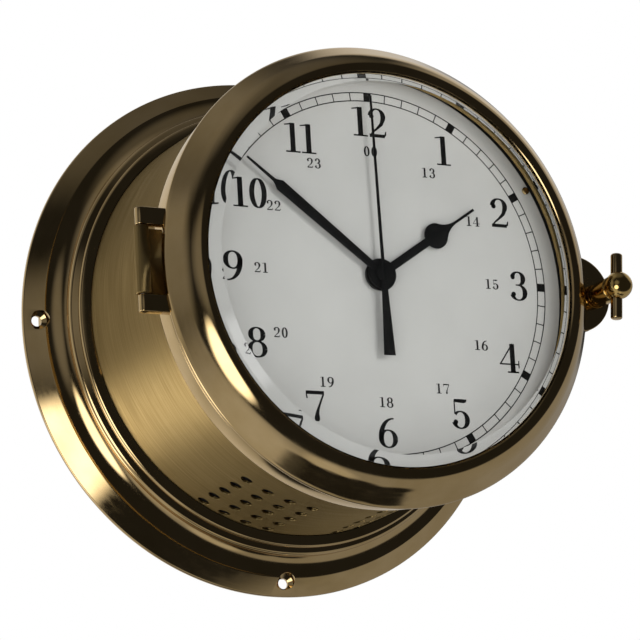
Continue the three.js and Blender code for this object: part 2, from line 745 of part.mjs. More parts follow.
const minuteTrackRadius = dialRadius - minuteTrackInset;
const numeralRadius = minuteTrackRadius - numeralInset;
const hourReach = numeralRadius - hourShortfall;
const minuteReach = minuteTrackRadius - minuteShortfall;
const secondReach = minuteTrackRadius - secondShortfall;
const hourBack = dialHeight + hourHandHeight;

function hourHand() {
  const hourNeckReach = hourReach - hourNeedleLength;
  const hourDiscReach = hourNeckReach - hourNeckLength;
  const [w, t] = [hourShaftWidth / 2, hourTipWidth / 2];
  const meet = Math.sqrt(hourDiscRadius ** 2 - w ** 2);
  const rise = hourFlankAngle * degree;
  const flankX = hourDiscRadius * Math.cos(rise);
  const flankY = hourDiscReach + hourDiscRadius * Math.sin(rise);
  const start = Math.atan2(-meet, w);
  const shape = new THREE.Shape();
  shape.moveTo(-w, 0);
  shape.lineTo(w, 0);
  shape.lineTo(w, hourDiscReach - meet);
  shape.absarc(0, hourDiscReach, hourDiscRadius, start, rise, false);
  shape.quadraticCurveTo(flankX - hourFlankPull, flankY + hourFlankPull, t, hourNeckReach);
  shape.lineTo(t, hourReach);
  shape.lineTo(-t, hourReach);
  shape.lineTo(-t, hourNeckReach);
  shape.quadraticCurveTo(-flankX + hourFlankPull, flankY + hourFlankPull, -flankX, flankY);
  shape.absarc(0, hourDiscReach, hourDiscRadius, Math.PI - rise, Math.PI - start, false);
  return hubbed(shape, hourHubRadius, hourTubeRadius + seatGap, hourBack, hourHandThickness);
}
place('hour_hand', laidAt(hourHand(), hourAngle), 'handPaint');

function taperedHand(widths) {
  const shape = new THREE.Shape();
  const [[firstReach, firstWidth], ...rest] = widths;
  shape.moveTo(firstWidth / 2, firstReach);
  rest.forEach(([reach, width]) => shape.lineTo(width / 2, reach));
  [...widths].reverse().forEach(([reach, width]) => shape.lineTo(-width / 2, reach));
  return shape;
}

const minuteNeckReach = minuteReach - minuteNeedleLength;
const minuteShoulderReach = minuteNeckReach - minuteShoulderLength;
const minuteShape = taperedHand([
  [0, minuteRootWidth],
  [minuteShoulderReach, minuteShoulderWidth],
  [minuteShoulderReach + minuteShoulderLength / 2, minuteShoulderBulge],
  [minuteNeckReach, minuteNeckWidth],
  [minuteReach, minuteTipWidth],
]);
const minuteBack = dialHeight + minuteHandHeight;
const minuteBore = minuteTubeRadius + seatGap;
const minuteHand = hubbed(minuteShape, minuteHubRadius, minuteBore, minuteBack, minuteHandThickness);
place('minute_hand', laidAt(minuteHand, minuteAngle), 'handPaint');

const secondShape = taperedHand([
  [-secondTailLength, secondTailWidth],
  [-secondHubRadius, secondTailRootWidth],
  [secondHubRadius, secondRootWidth],
  [secondReach, secondTipWidth],
]);
const secondBack = dialHeight + secondHandHeight;
const secondBore = secondPinRadius + seatGap;
const secondHand = hubbed(secondShape, secondHubRadius, secondBore, secondBack, secondHandThickness);
place('second_hand', laidAt(secondHand, secondAngle), 'handPaint');

// Movement: front shell with the threaded bush, rear cover, battery, contacts and setting knob
const rubberBack = dialBack - seatGap - rubberWasherThickness;
const movementFront = rubberBack - seatGap;
const movementBack = movementFront - movementDepth;
const cavityTop = movementSize / 2 - movementWall;
const cavityBottom = -minuteWheelRadius - movementWheelRoom;
const batteryY = -movementSize / 2 + movementWall + batteryRadius + batteryGap;
const batteryZ = movementFront - movementWall - batteryRadius - batteryGap;
const batterySlotHalf = batteryLength / 2 + contactRoom;

function movementShell() {
  const outline = roundedRectangle(movementSize, movementSize, movementCorner);
  const box = solid(extruded(outline, movementBack, movementFront));
  const bush = solid(rod(bushRadius, movementFront - overrun, dialHeight + bushProud));
  const half = movementSize / 2 - movementWall;
  const open = movementBack - overrun;
  const floor = movementFront - movementWall;
  const gearRoom = solid(block(-half, half, cavityBottom, cavityTop, open, floor));
  const slotTop = batteryY + batteryRadius + batteryGap;
  const slotBottom = batteryY - batteryRadius - batteryGap;
  const slotDeep = Math.min(batteryZ - batteryRadius - batteryGap, movementBack) - overrun;
  const batteryRoom = solid(block(
    -batterySlotHalf, batterySlotHalf, slotBottom, slotTop, slotDeep, floor,
  ));
  const bushTop = dialHeight + bushProud + overrun;
  const tubeHole = solid(rod(hourTubeRadius + runningGap, open, bushTop));
  return cut(join(box, bush), gearRoom, batteryRoom, tubeHole);
}
place('movement_front_shell', movementShell(), 'blackPlastic');

const coverFront = movementBack - seatGap;
const coverBack = coverFront - movementCoverThickness;

function movementCover() {
  const [top, bottom] = [movementSize / 2, cavityBottom - movementWall];
  const shape = roundedRectangle(movementSize, top - bottom, movementWall);
  const plate = solid(extruded(shape, coverBack, coverFront).translate(0, (top + bottom) / 2, 0));
  const rib = movementWall;
  const half = movementSize / 2 - movementWall - seatGap;
  const [low, high] = [cavityBottom + seatGap, cavityTop - seatGap];
  const skirtTop = movementBack + rib;
  const skirt = solid(block(-half, half, low, high, coverFront - overrun, skirtTop));
  const room = solid(block(
    -half + rib, half - rib, low + rib, high - rib, coverFront, skirtTop + overrun,
  ));
  const holeTop = coverFront + overrun;
  const shaftHole = solid(rod(
    knobShaftRadius + runningGap, coverBack - overrun, holeTop, knobOffsetX, knobOffsetY,
  ));
  const bearingRadius = secondPinRadius + runningGap;
  const arborBearing = solid(rod(bearingRadius, coverFront - overrun, holeTop, 0, 0, holeFacets));
  return cut(join(plate, cut(skirt, room)), shaftHole, arborBearing);
}
place('movement_rear_cover', movementCover(), 'blackPlastic');

const nutBack = dialHeight + seatGap;
const nutRadius = nutAcrossFlats / 2 / Math.cos(Math.PI / 6);
const nut = cut(
  solid(rod(nutRadius, nutBack, nutBack + nutThickness, 0, 0, 6)),
  solid(rod(bushRadius + seatGap, nutBack - overrun, nutBack + nutThickness + overrun)),
);
place('mounting_nut', nut, 'polishedBrass');
const rubberFront = rubberBack + rubberWasherThickness;
const rubberWasher = ring(bushRadius + seatGap, rubberWasherRadius, rubberBack, rubberFront, middleFacets);
place('rubber_washer', rubberWasher, 'rubber');

// Arbors: hour tube round minute tube round second pin, each ending in the hub of its hand
const arborFoot = movementFront - movementWall - 1;
const hourTubeTop = hourBack + hourHandThickness;
const minuteTubeTop = minuteBack + minuteHandThickness;
const hourTubeBore = minuteTubeRadius + runningGap;
const minuteTubeBore = secondPinRadius + runningGap;

function arbor(bore, outer, top, wheelRadius, wheelTop) {
  const section = [
    point(bore, wheelTop - wheelThickness),
    point(wheelRadius, wheelTop - wheelThickness),
    point(wheelRadius, wheelTop),
    point(outer, wheelTop),
    point(outer, top),
    point(bore, top),
  ];
  if (bore > 0) section.push(section[0].clone());
  return turned(section, middleFacets);
}
const minuteWheelTop = arborFoot - wheelThickness - wheelGap;
const secondWheelTop = minuteWheelTop - wheelThickness - wheelGap;
const secondPinTop = secondBack + secondHandThickness;
const hourTube = arbor(hourTubeBore, hourTubeRadius, hourTubeTop, hourWheelRadius, arborFoot);
place('hour_tube', hourTube, 'satinBrass');
const minuteArbor = arbor(
  minuteTubeBore, minuteTubeRadius, minuteTubeTop, minuteWheelRadius, minuteWheelTop,
);
place('minute_arbor', minuteArbor, 'satinBrass');

function secondArbor() {
  const upper = solid(arbor(0, secondPinRadius, secondPinTop, secondWheelRadius, secondWheelTop));
  const foot = coverFront - overrun + seatGap;
  const pivot = solid(rod(secondPinRadius, foot, secondWheelTop, 0, 0, holeFacets));
  return join(upper, pivot);
}
place('second_arbor', secondArbor(), 'steel');

function battery() {
  const half = batteryLength / 2;
  const can = turned([
    point(0, -half),
    point(batteryRadius - batteryChamfer, -half),
    point(batteryRadius, -half + batteryChamfer),
    point(batteryRadius, half - batteryCapLength - batteryChamfer),
    point(batteryRadius - batteryChamfer, half - batteryCapLength),
    point(batteryCapRadius, half - batteryCapLength),
    point(batteryCapRadius, half),
    point(0, half),
  ], smallFacets);
  return can.rotateY(Math.PI / 2).translate(0, batteryY, batteryZ);
}
place('battery_cell', battery(), 'cellWrap');

[['contact_minus', -1], ['contact_plus', 1]].forEach(([name, side]) => {
  const inner = side * (batteryLength / 2 + seatGap);
  const outer = inner + side * contactThickness;
  const [x0, x1] = [Math.min(inner, outer), Math.max(inner, outer)];
  const [y0, y1] = [batteryY - contactWidth / 2, batteryY + contactWidth / 2];
  place(name, block(x0, x1, y0, y1, batteryZ - batteryRadius, batteryZ + batteryRadius), 'steel');
});

function settingKnob() {
  const top = coverBack - seatGap;
  const grip = new THREE.Shape();
  for (let i = 0; i < 2 * knobFlutes; i += 1) {
    const radius = i % 2 ? knobRadius - knobFluteDepth : knobRadius;
    const angle = (i * Math.PI) / knobFlutes;
    grip[i ? 'lineTo' : 'moveTo'](radius * Math.cos(angle), radius * Math.sin(angle));
  }
  const body = join(
    solid(extruded(grip, top - knobHeight, top)),
    solid(rod(knobShaftRadius, top - overrun, coverFront + knobShaftDepth)),
  );
  return geometryOf(body).translate(knobOffsetX, knobOffsetY, 0);
}
place('setting_knob', settingKnob(), 'blackPlastic');

// Loudspeaker: a bracket across the drum's floor, and a small cone unit that faces the sound holes
const speakerDrop = drumBore - speakerStandoff;
const speakerHeight = soundFirstRowHeight + ((soundRows - 1) * soundPitch) / 2;
const bracketHalf = Math.sqrt((drumBore - seatGap) ** 2 - (speakerDrop + bracketThickness) ** 2);
const bracketBack = speakerHeight - bracketLength / 2;
const bracketFront = speakerHeight + bracketLength / 2;

function facingDown(geometry) {
  return geometry.rotateX(-Math.PI / 2).translate(0, -speakerDrop, speakerHeight);
}

function speakerBracket() {
  const seatRadius = drumBore - seatGap;
  const drum = solid(rod(seatRadius, bracketBack, bracketFront, 0, 0, bigFacets));
  const span = bracketHalf + bracketFoot;
  const under = -speakerDrop - bracketThickness;
  const plate = solid(block(-span, span, under, -speakerDrop, bracketBack, bracketFront));
  const coreRadius = seatRadius - bracketThickness;
  const coreEnds = [bracketBack - overrun, bracketFront + overrun];
  const shell = cut(drum, solid(rod(coreRadius, ...coreEnds, 0, 0, bigFacets)));
  const footLow = -speakerDrop - bracketFoot;
  const feet = [-1, 1].map((side) => {
    const middle = side * bracketHalf;
    const [x0, x1] = [middle - bracketFoot, middle + bracketFoot];
    return solid(block(x0, x1, footLow, -speakerDrop, bracketBack, bracketFront)).intersect(shell);
  });
  const mouthRadius = speakerConeRadius + bracketMouthGap;
  const mouthRod = rod(mouthRadius, -bracketThickness - overrun, overrun, 0, 0, middleFacets);
  return cut(join(plate.intersect(drum), ...feet), solid(facingDown(mouthRod)));
}
place('speaker_bracket', speakerBracket(), 'blackSteel');

function speakerFrame() {
  const base = seatGap;
  const deep = base + speakerConeDepth + speakerFrameThickness;
  return facingDown(turned([
    point(speakerConeRadius, base),
    point(speakerRadius, base),
    point(speakerRadius, base + speakerFrameThickness),
    point(speakerConeRadius + speakerFrameThickness, base + speakerFrameThickness),
    point(speakerMagnetRadius, deep),
    point(speakerThroatRadius - speakerFrameThickness, deep),
    point(speakerThroatRadius - speakerFrameThickness, deep - speakerFrameThickness),
    point(speakerMagnetRadius, deep - speakerFrameThickness),
    point(speakerConeRadius, base + speakerFrameThickness),
    point(speakerConeRadius, base),
  ], middleFacets));
}
place('speaker_frame', speakerFrame(), 'blackSteel');

function speakerCone() {
  const mouth = speakerConeRadius - seatGap;
  const base = seatGap;
  const deep = base + speakerConeDepth - speakerFrameThickness;
  return facingDown(turned([
    point(0, deep - 3 * speakerConeThickness),
    point(speakerThroatRadius, deep - speakerConeThickness),
    point(mouth - speakerConeFlat, base),
    point(mouth, base),
    point(mouth, base + speakerConeThickness),
    point(speakerThroatRadius, deep),
    point(0, deep - 2 * speakerConeThickness),
  ], middleFacets));
}
place('speaker_cone', speakerCone(), 'paper');

const magnetBase = 2 * seatGap + speakerConeDepth + speakerFrameThickness;
const magnet = rod(speakerMagnetRadius, magnetBase, magnetBase + speakerMagnetHeight, 0, 0, middleFacets);
place('speaker_magnet', facingDown(magnet), 'ferrite');

const object = new THREE.Group();
object.add(clock);
object.updateMatrixWorld(true);

export default object;
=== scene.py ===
"""Looks of a brass ship's clock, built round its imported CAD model.

Every piece is modelled face up on a bench, in millimetres: x to 3 o'clock, y to 12 o'clock and z forward
from the wall. A finished mesh is stood upright, scaled to metres and given to the body that carries it.
"""

import itertools
import logging
import math
from collections.abc import Iterable, Sequence
from dataclasses import dataclass, field
from enum import Enum

import bmesh
import bpy
from mathutils import Euler, Matrix, Vector


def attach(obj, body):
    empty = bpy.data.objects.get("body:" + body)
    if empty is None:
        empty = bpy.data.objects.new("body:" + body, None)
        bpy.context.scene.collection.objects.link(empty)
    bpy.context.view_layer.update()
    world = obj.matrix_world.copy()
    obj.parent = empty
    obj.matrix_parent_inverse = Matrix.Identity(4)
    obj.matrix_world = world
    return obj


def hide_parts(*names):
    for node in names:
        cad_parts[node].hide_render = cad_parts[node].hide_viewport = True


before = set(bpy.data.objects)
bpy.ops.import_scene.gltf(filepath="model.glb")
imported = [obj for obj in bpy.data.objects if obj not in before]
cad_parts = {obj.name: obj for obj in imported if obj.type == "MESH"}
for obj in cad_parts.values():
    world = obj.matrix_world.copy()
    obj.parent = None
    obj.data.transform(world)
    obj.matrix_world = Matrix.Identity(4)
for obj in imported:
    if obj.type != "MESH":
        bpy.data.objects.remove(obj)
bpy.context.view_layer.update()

log = logging.getLogger("ships_clock")

MILLIMETRE = 0.001
STAND_UPRIGHT = Matrix.Scale(MILLIMETRE, 4) @ Matrix.Rotation(math.radians(90), 4, "X")
WELD_DISTANCE = 0.0005
LATHE_SEGMENTS = 512
DIAL_SEGMENTS = 256
SMALL_SEGMENTS = 64
ARC_STEPS = 12
CORNER_STEPS = 4
EDGE_SEGMENTS = 3
CREASE = math.radians(32)
OVERRUN = 1.0  # of a drill past the faces that it goes through

DIAL_FACE = 80.85
PIN_REACH = 83.0  # of the hinge pin, from the clock's axis
SCREW_REACH = 82.0  # of the latch screw
LATCH_CENTRE = 73.4  # of the half-round ends of the lug and the ear
LATCH_ANGLE = -1.0  # of the latch, in degrees from 3 o'clock

Mesh = bmesh.types.BMesh
Tree = bpy.types.NodeTree
Node = bpy.types.Node
Socket = bpy.types.NodeSocket
Point = tuple[float, float]


class Body(Enum):
    """The bodies of the clock, each of which moves as one."""

    CASE = "case"
    BEZEL = "bezel"
    LATCH_SLIDER = "latch_slider"
    LATCH_SCREW = "latch_screw"
    HOUR = "hour"
    MINUTE = "minute"
    SECOND = "second"
    KNOB = "knob"


# Node helpers


def linear(hex_colour: str) -> tuple[float, float, float, float]:
    """Turn an sRGB hex colour into the linear colour that a shader wants.

    Args:
        hex_colour: six hex digits.

    Returns:
        Red, green, blue and an alpha of one.
    """
    channels = [int(hex_colour[i : i + 2], 16) / 255 for i in (0, 2, 4)]
    bent = [c / 12.92 if c <= 0.04045 else ((c + 0.055) / 1.055) ** 2.4 for c in channels]
    return bent[0], bent[1], bent[2], 1.0


def add_node(tree: Tree, kind: str, inputs: dict | None = None, **settings: object) -> Node:
    """Add a node with its settings, and link or set its inputs.

    Args:
        tree: the material's or world's node tree.
        kind: the node's type name.
        inputs: an output socket or a plain value for each input, by name or number.
        settings: the node's own properties.

    Returns:
        The new node.
    """
    node = tree.nodes.new(kind)
    for name, value in settings.items():
        setattr(node, name, value)
    for key, value in (inputs or {}).items():
        if isinstance(value, Socket):
            tree.links.new(value, node.inputs[key])
        else:
            node.inputs[key].default_value = value
    return node


def grain(tree: Tree, size_mm: Sequence[float], detail: float = 3.0) -> Socket:
    """Give a noise whose blotches have a real size along x, y and z.

    Args:
        tree: the material's node tree.
        size_mm: the size of a blotch along each axis of the clock, in millimetres.
        detail: how many finer layers the noise has.

    Returns:
        The noise's value, from 0 to 1.
    """
    coordinates = add_node(tree, "ShaderNodeTexCoord").outputs["Object"]
    scale = tuple(1 / (size * MILLIMETRE) for size in size_mm)
    mapping = add_node(tree, "ShaderNodeMapping", {"Vector": coordinates, "Scale": scale})
    settings = {"Vector": mapping.outputs[0], "Scale": 1.0, "Detail": detail}
    return add_node(tree, "ShaderNodeTexNoise", settings).outputs["Fac"]


def spread(tree: Tree, value: Socket, low: float, high: float) -> Socket:
    """Map the useful middle of a noise to a range of values."""
    noise_low, noise_high = 0.3, 0.7
    node = add_node(tree, "ShaderNodeMapRange", {
        "Value": value, "From Min": noise_low, "From Max": noise_high, "To Min": low, "To Max": high,
    })
    return node.outputs["Result"]


def blend(tree: Tree, share: Socket, first: str, second: str) -> Socket:
    """Mix two hex colours by a share from 0 to 1."""
    node = add_node(tree, "ShaderNodeMix", data_type="RGBA")
    tree.links.new(share, node.inputs["Factor"])
    colours = [socket for socket in node.inputs if socket.type == "RGBA"]
    for socket, hex_colour in zip(colours, (first, second)):
        socket.default_value = linear(hex_colour)
    return next(socket for socket in node.outputs if socket.type == "RGBA")


# Finishes


@dataclass(frozen=True)
class Finish:
    """A surface as it was made: its name, slot, colours and gloss."""

    name: str
    slot: str
    colour: str
    shade: str
    roughness: float
    metallic: float = 0.0

    def material(self) -> bpy.types.Material:
        """Build the finish as a procedural material.

        Returns:
            The material.
        """
        material = bpy.data.materials.new(self.name)
        material.use_nodes = True
        tree = material.node_tree
        shader = tree.nodes["Principled BSDF"]
        shader.inputs["Metallic"].default_value = self.metallic
        shader.inputs["Roughness"].default_value = self.roughness
        shader.inputs["Base Color"].default_value = linear(self.colour)
        self.dress(tree, shader)
        return material

    def tone(self, tree: Tree, shader: Node, noise: Socket) -> None:
        """Mix the finish's two colours by a noise."""
        colour = blend(tree, spread(tree, noise, 0.0, 1.0), self.colour, self.shade)
        tree.links.new(colour, shader.inputs["Base Color"])

    def gloss(self, tree: Tree, shader: Node, noise: Socket, low: float, high: float) -> None:
        """Vary the roughness between two values by a noise."""
        tree.links.new(spread(tree, noise, low, high), shader.inputs["Roughness"])

    def relief(self, tree: Tree, shader: Node, noise: Socket, depth_mm: float) -> None:
        """Raise the surface by a noise times a depth in millimetres."""
        bump = {"Height": noise, "Distance": depth_mm * MILLIMETRE, "Strength": 1.0}
        tree.links.new(add_node(tree, "ShaderNodeBump", bump).outputs["Normal"], shader.inputs["Normal"])

    def dress(self, tree: Tree, shader: Node) -> None:
        """Add a mottled colour and a slightly uneven gloss."""
        mottle_mm, fleck_mm, unevenness = 3.0, 0.8, 0.15
        self.tone(tree, shader, grain(tree, (mottle_mm,) * 3))
        flecks = grain(tree, (fleck_mm,) * 3)
        self.gloss(tree, shader, flecks, (1 - unevenness) * self.roughness, (1 + unevenness) * self.roughness)


@dataclass(frozen=True)
class PolishedBrass(Finish):
    """Turned brass, buffed bright and lacquered: deep reflections, a faint haze and handling marks."""

    haze: float = 0.07

    def dress(self, tree: Tree, shader: Node) -> None:
        """Add tarnish clouds, buffing haze and hairlines that run round the turning."""
        clouds, smears, hairlines, depth_mm = (14.0, 9.0, 14.0), (5.0, 1.2, 5.0), (9.0, 0.35, 9.0), 0.0012
        self.tone(tree, shader, grain(tree, clouds))
        self.gloss(tree, shader, grain(tree, smears), self.roughness, self.roughness + self.haze)
        self.relief(tree, shader, grain(tree, hairlines, detail=1.0), depth_mm)


@dataclass(frozen=True)
class BrushedBrass(Finish):
    """Brass tube brushed round its axis: fine lines that draw each highlight out along the drum."""

    line_mm: float = 0.3
    line_length_mm: float = 22.0
    depth_mm: float = 0.004
    stretch: float = 0.95
    across_lines: float = 0.25

    def dress(self, tree: Tree, shader: Node) -> None:
        """Stretch highlights across the brush lines, and add the lines, drawn coarse enough to show."""
        shader.inputs["Anisotropic"].default_value = self.stretch
        shader.inputs["Anisotropic Rotation"].default_value = self.across_lines
        round_axis = add_node(tree, "ShaderNodeTangent", direction_type="RADIAL", axis="Y")
        tree.links.new(round_axis.outputs["Tangent"], shader.inputs["Tangent"])
        lines = grain(tree, (self.line_length_mm, self.line_mm, self.line_length_mm), detail=4.0)
        unevenness = 0.2
        self.tone(tree, shader, lines)
        self.gloss(tree, shader, lines, (1 - unevenness) * self.roughness, (1 + unevenness) * self.roughness)
        self.relief(tree, shader, lines, self.depth_mm)


@dataclass(frozen=True)
class SprayedPaint(Finish):
    """Stoved matt paint on sheet metal: an even tone with a very fine orange peel."""

    tone_mm: float = 18.0
    peel_mm: float = 0.5
    depth_mm: float = 0.004

    def dress(self, tree: Tree, shader: Node) -> None:
        """Add orange peel and a barely uneven tone."""
        self.tone(tree, shader, grain(tree, (self.tone_mm,) * 3))
        self.relief(tree, shader, grain(tree, (self.peel_mm,) * 3, detail=2.0), self.depth_mm)


@dataclass(frozen=True)
class ClearGlass(Finish):
    """Polished float glass with ground and polished edges."""

    ior: float = 1.52

    def dress(self, tree: Tree, shader: Node) -> None:
        """Let light through, with a trace of smears in the gloss."""
        smears, dullness = (16.0, 16.0, 9.0), 0.006
        shader.inputs["Transmission Weight"].default_value = 1.0
        shader.inputs["IOR"].default_value = self.ior
        self.gloss(tree, shader, grain(tree, smears), self.roughness, self.roughness + dullness)


@dataclass(frozen=True)
class GrainedSolid(Finish):
    """A moulded, pressed or sintered material whose surface has a visible grain."""

    grain_mm: float = 0.6
    depth_mm: float = 0.03

    def dress(self, tree: Tree, shader: Node) -> None:
        """Add the grain to colour and height."""
        texture = grain(tree, (self.grain_mm,) * 3)
        self.tone(tree, shader, texture)
        self.relief(tree, shader, texture, self.depth_mm)


class Surface(Enum):
    """The finishes that a piece can have."""

    POLISHED_BRASS = PolishedBrass("brass_turned_polished", "polished_brass", "ceb384", "c2a674", 0.06, 1.0)
    SATIN_BRASS = BrushedBrass("brass_brushed_round", "satin_brass", "d2b67c", "c4a76d", 0.56, 1.0)
    GOLD_BRASS = PolishedBrass("brass_gold_lacquered", "gold_brass", "dcbc7a", "cfad68", 0.1, 1.0)
    STEEL = Finish("steel_zinc_plated", "steel", "9a9a98", "868684", 0.32, 1.0)
    BLACK_STEEL = SprayedPaint("paint_black_on_steel", "black_steel", "1a1a1a", "202020", 0.5)
    DIAL_PAINT = SprayedPaint("paint_stoved_offwhite", "dial_paint", "d6d6d3", "d0d0cd", 0.62)
    DIAL_INK = SprayedPaint("ink_screen_printed", "dial_paint", "0b0b0c", "101011", 0.5)
    HAND_PAINT = SprayedPaint("paint_satin_black", "hand_paint", "0a0a0b", "0e0e0f", 0.38)
    GLASS = ClearGlass("glass_float_bevelled", "glass", "fcfdfc", "fcfdfc", 0.0)
    RUBBER = GrainedSolid("rubber_nitrile", "rubber", "161616", "1e1e1e", 0.8, grain_mm=0.4)
    BLACK_PLASTIC = GrainedSolid("abs_moulded_black", "black_plastic", "1b1b1d", "222225", 0.5)
    SPEAKER_PAPER = GrainedSolid("paper_pressed_cone", "speaker_paper", "262624", "32322f", 0.9, grain_mm=0.9)
    FERRITE = GrainedSolid("ferrite_sintered", "ferrite", "38383b", "46464a", 0.6, grain_mm=0.3)
    CELL_WRAP = Finish("film_shrunk_on_cell", "cell_wrap", "3d5f7a", "35546d", 0.3, 0.2)


# Pieces


def placed(name: str, data: bpy.types.ID) -> bpy.types.Object:
    """Put an object with its data into the scene.

    Args:
        name: the object's name.
        data: its mesh, camera or lamp.

    Returns:
        The new object.
    """
    item = bpy.data.objects.new(name, data)
    bpy.context.scene.collection.objects.link(item)
    return item


def shaped(name: str, mesh: Mesh) -> bpy.types.Object:
    """Turn a finished mesh into an object of the scene."""
    data = bpy.data.meshes.new(name)
    mesh.to_mesh(data)
    mesh.free()
    return placed(name, data)


class Workshop:
    """Keeps one material for each finish and turns finished meshes into pieces of the clock."""

    def __init__(self) -> None:
        """Build every finish once."""
        self.materials = {surface: surface.value.material() for surface in Surface}
        self.count = 0

    def piece(
        self, name: str, mesh: Mesh, surface: Surface, body: Body, replaces: Sequence[str] = (),
    ) -> bpy.types.Object:
        """Stand a mesh upright, dress it and let it ride on its body.

        Args:
            name: the piece's name.
            mesh: the finished mesh, on the bench in millimetres.
            surface: its finish.
            body: the body that carries it.
            replaces: the CAD nodes that it stands for.

        Returns:
            The new object.
        """
        mesh.transform(STAND_UPRIGHT)
        for edge in mesh.edges:
            edge.smooth = edge.calc_face_angle(math.pi) < CREASE
        for face in mesh.faces:
            face.smooth = True
        piece = shaped(name, mesh)
        piece.data.materials.append(self.materials[surface])
        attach(piece, body.value)
        if replaces:
            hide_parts(*replaces)
        self.count += 1
        log.info("%s: %d faces on %s", name, len(piece.data.polygons), body.value)
        return piece

    def dress_node(self, node: str, surface: Surface) -> None:
        """Give a CAD node that stays in view its finish."""
        materials = bpy.data.objects[node].data.materials
        materials.clear()
        materials.append(self.materials[surface])
        log.info("%s: kept from the CAD", node)


# Mesh helpers


class Section:
    """An outline in the radius-height plane, drawn point by point and then turned as on a lathe."""

    def __init__(self) -> None:
        """Start an empty outline."""
        self.mesh = bmesh.new()
        self.points: list[bmesh.types.BMVert] = []

    def to(self, radius: float, height: float) -> "Section":
        """Draw a line to a point.

        Args:
            radius: its distance from the axis.
            height: its height along the axis.

        Returns:
            The outline itself.
        """
        vertex = self.mesh.verts.new((radius, 0.0, height))
        if self.points:
            self.mesh.edges.new((self.points[-1], vertex))
        self.points.append(vertex)
        return self

    def arc(self, centre: Point, radii: Point, start: float, end: float, steps: int = ARC_STEPS) -> "Section":
        """Draw part of an ellipse.

        Args:
            centre: radius and height of its centre.
            radii: its reach along the radius and along the height.
            start: the first angle, in degrees from the radius.
            end: the last angle.
            steps: how many lines it is drawn with.

        Returns:
            The outline itself.
        """
        for i in range(steps + 1):
            angle = math.radians(start + (end - start) * i / steps)
            self.to(centre[0] + radii[0] * math.cos(angle), centre[1] + radii[1] * math.sin(angle))
        return self

    def bend(self, pull: Point, end: Point) -> "Section":
        """Draw a smooth curve on from the last point.

        Args:
            pull: the point that the curve leaves towards and comes in from.
            end: the point where it ends.

        Returns:
            The outline itself.
        """
        for point in curve((self.points[-1].co.x, self.points[-1].co.z), pull, end, ARC_STEPS):
            self.to(*point)
        return self

    def corner(
        self, radius: float, height: float, round_: float, top: bool = True, steps: int = CORNER_STEPS,
    ) -> "Section":
        """Draw a rounded outer corner, on the way up.

        Args:
            radius: the radius that it reaches.
            height: the height that it reaches.
            round_: the radius of its rounding.
            top: whether it ends in a top face or starts from a bottom one.
            steps: how many lines it is drawn with.

        Returns:
            The outline itself.
        """
        centre = (radius - round_, height - round_ if top else height + round_)
        start = 0 if top else -90
        return self.arc(centre, (round_, round_), start, start + 90, steps)

    def turned(self, segments: int = LATHE_SEGMENTS, closed: bool = True) -> Mesh:
        """Turn the outline round the axis.

        Args:
            segments: how many steps a full turn has.
            closed: whether the outline's end is joined to its start first.

        Returns:
            The turned mesh, welded and with its faces outwards.
        """
        if closed:
            self.mesh.edges.new((self.points[-1], self.points[0]))
        bmesh.ops.spin(
            self.mesh, geom=self.mesh.verts[:] + self.mesh.edges[:], cent=(0, 0, 0), axis=(0, 0, 1),
            angle=math.tau, steps=segments, use_merge=True,
        )
        return tidy(self.mesh)


def tidy(mesh: Mesh) -> Mesh:
    """Weld a mesh's doubles and turn its faces outwards."""
    bmesh.ops.remove_doubles(mesh, verts=mesh.verts, dist=WELD_DISTANCE)
    bmesh.ops.dissolve_degenerate(mesh, edges=mesh.edges, dist=WELD_DISTANCE)
    bmesh.ops.recalc_face_normals(mesh, faces=mesh.faces)
    return mesh


def shifted(mesh: Mesh, x: float = 0.0, y: float = 0.0, z: float = 0.0) -> Mesh:
    """Move a mesh and give it back."""
    bmesh.ops.translate(mesh, verts=mesh.verts, vec=(x, y, z))
    return mesh


def rotated(mesh: Mesh, degrees: float, axis: str) -> Mesh:
    """Turn a mesh round one of the bench's axes and give it back."""
    turn = Matrix.Rotation(math.radians(degrees), 3, axis)
    bmesh.ops.rotate(mesh, verts=mesh.verts, cent=(0, 0, 0), matrix=turn)
    return mesh


def rounded(mesh: Mesh, edges: Sequence[bmesh.types.BMEdge], bevel: float, segments: int) -> Mesh:
    """Round some of a mesh's edges and give it back."""
    bmesh.ops.bevel(
        mesh, geom=edges, offset=bevel, offset_type="OFFSET", affect="EDGES", segments=segments,
        profile=0.5, material=-1, clamp_overlap=True,
    )
    return mesh


def rod(radius: float, low: float, high: float, round_: float = 0.0) -> Mesh:
    """Turn a plain rod with rounded ends, along the z axis."""
    section = Section().to(0, low)
    if round_ > 0:
        section.corner(radius, low, round_, top=False).corner(radius, high, round_)
    else:
        section.to(radius, low).to(radius, high)
    return section.to(0, high).turned(SMALL_SEGMENTS, closed=False)


def plate(outline: Iterable[Point], low: float, high: float, bevel: float, segments: int = 2) -> Mesh:
    """Cut a flat plate to an outline, with a rounded edge.

    Args:
        outline: its corners, in order, in the plane of the dial.
        low: the height of its back.
        high: the height of its face.
        bevel: how far its edges are rounded.
        segments: how many faces each rounded edge has.

    Returns:
        The plate as a closed mesh.
    """
    mesh = bmesh.new()
    face = mesh.faces.new([mesh.verts.new((x, y, low)) for x, y in outline])
    raised = bmesh.ops.extrude_face_region(mesh, geom=[face], use_keep_orig=True)
    top = [item for item in raised["geom"] if isinstance(item, bmesh.types.BMVert)]
    bmesh.ops.translate(mesh, verts=top, vec=(0, 0, high - low))
    tidy(mesh)
    rims = [edge for edge in mesh.edges if abs(edge.verts[0].co.z - edge.verts[1].co.z) < WELD_DISTANCE]
    return rounded(mesh, rims, bevel, segments)


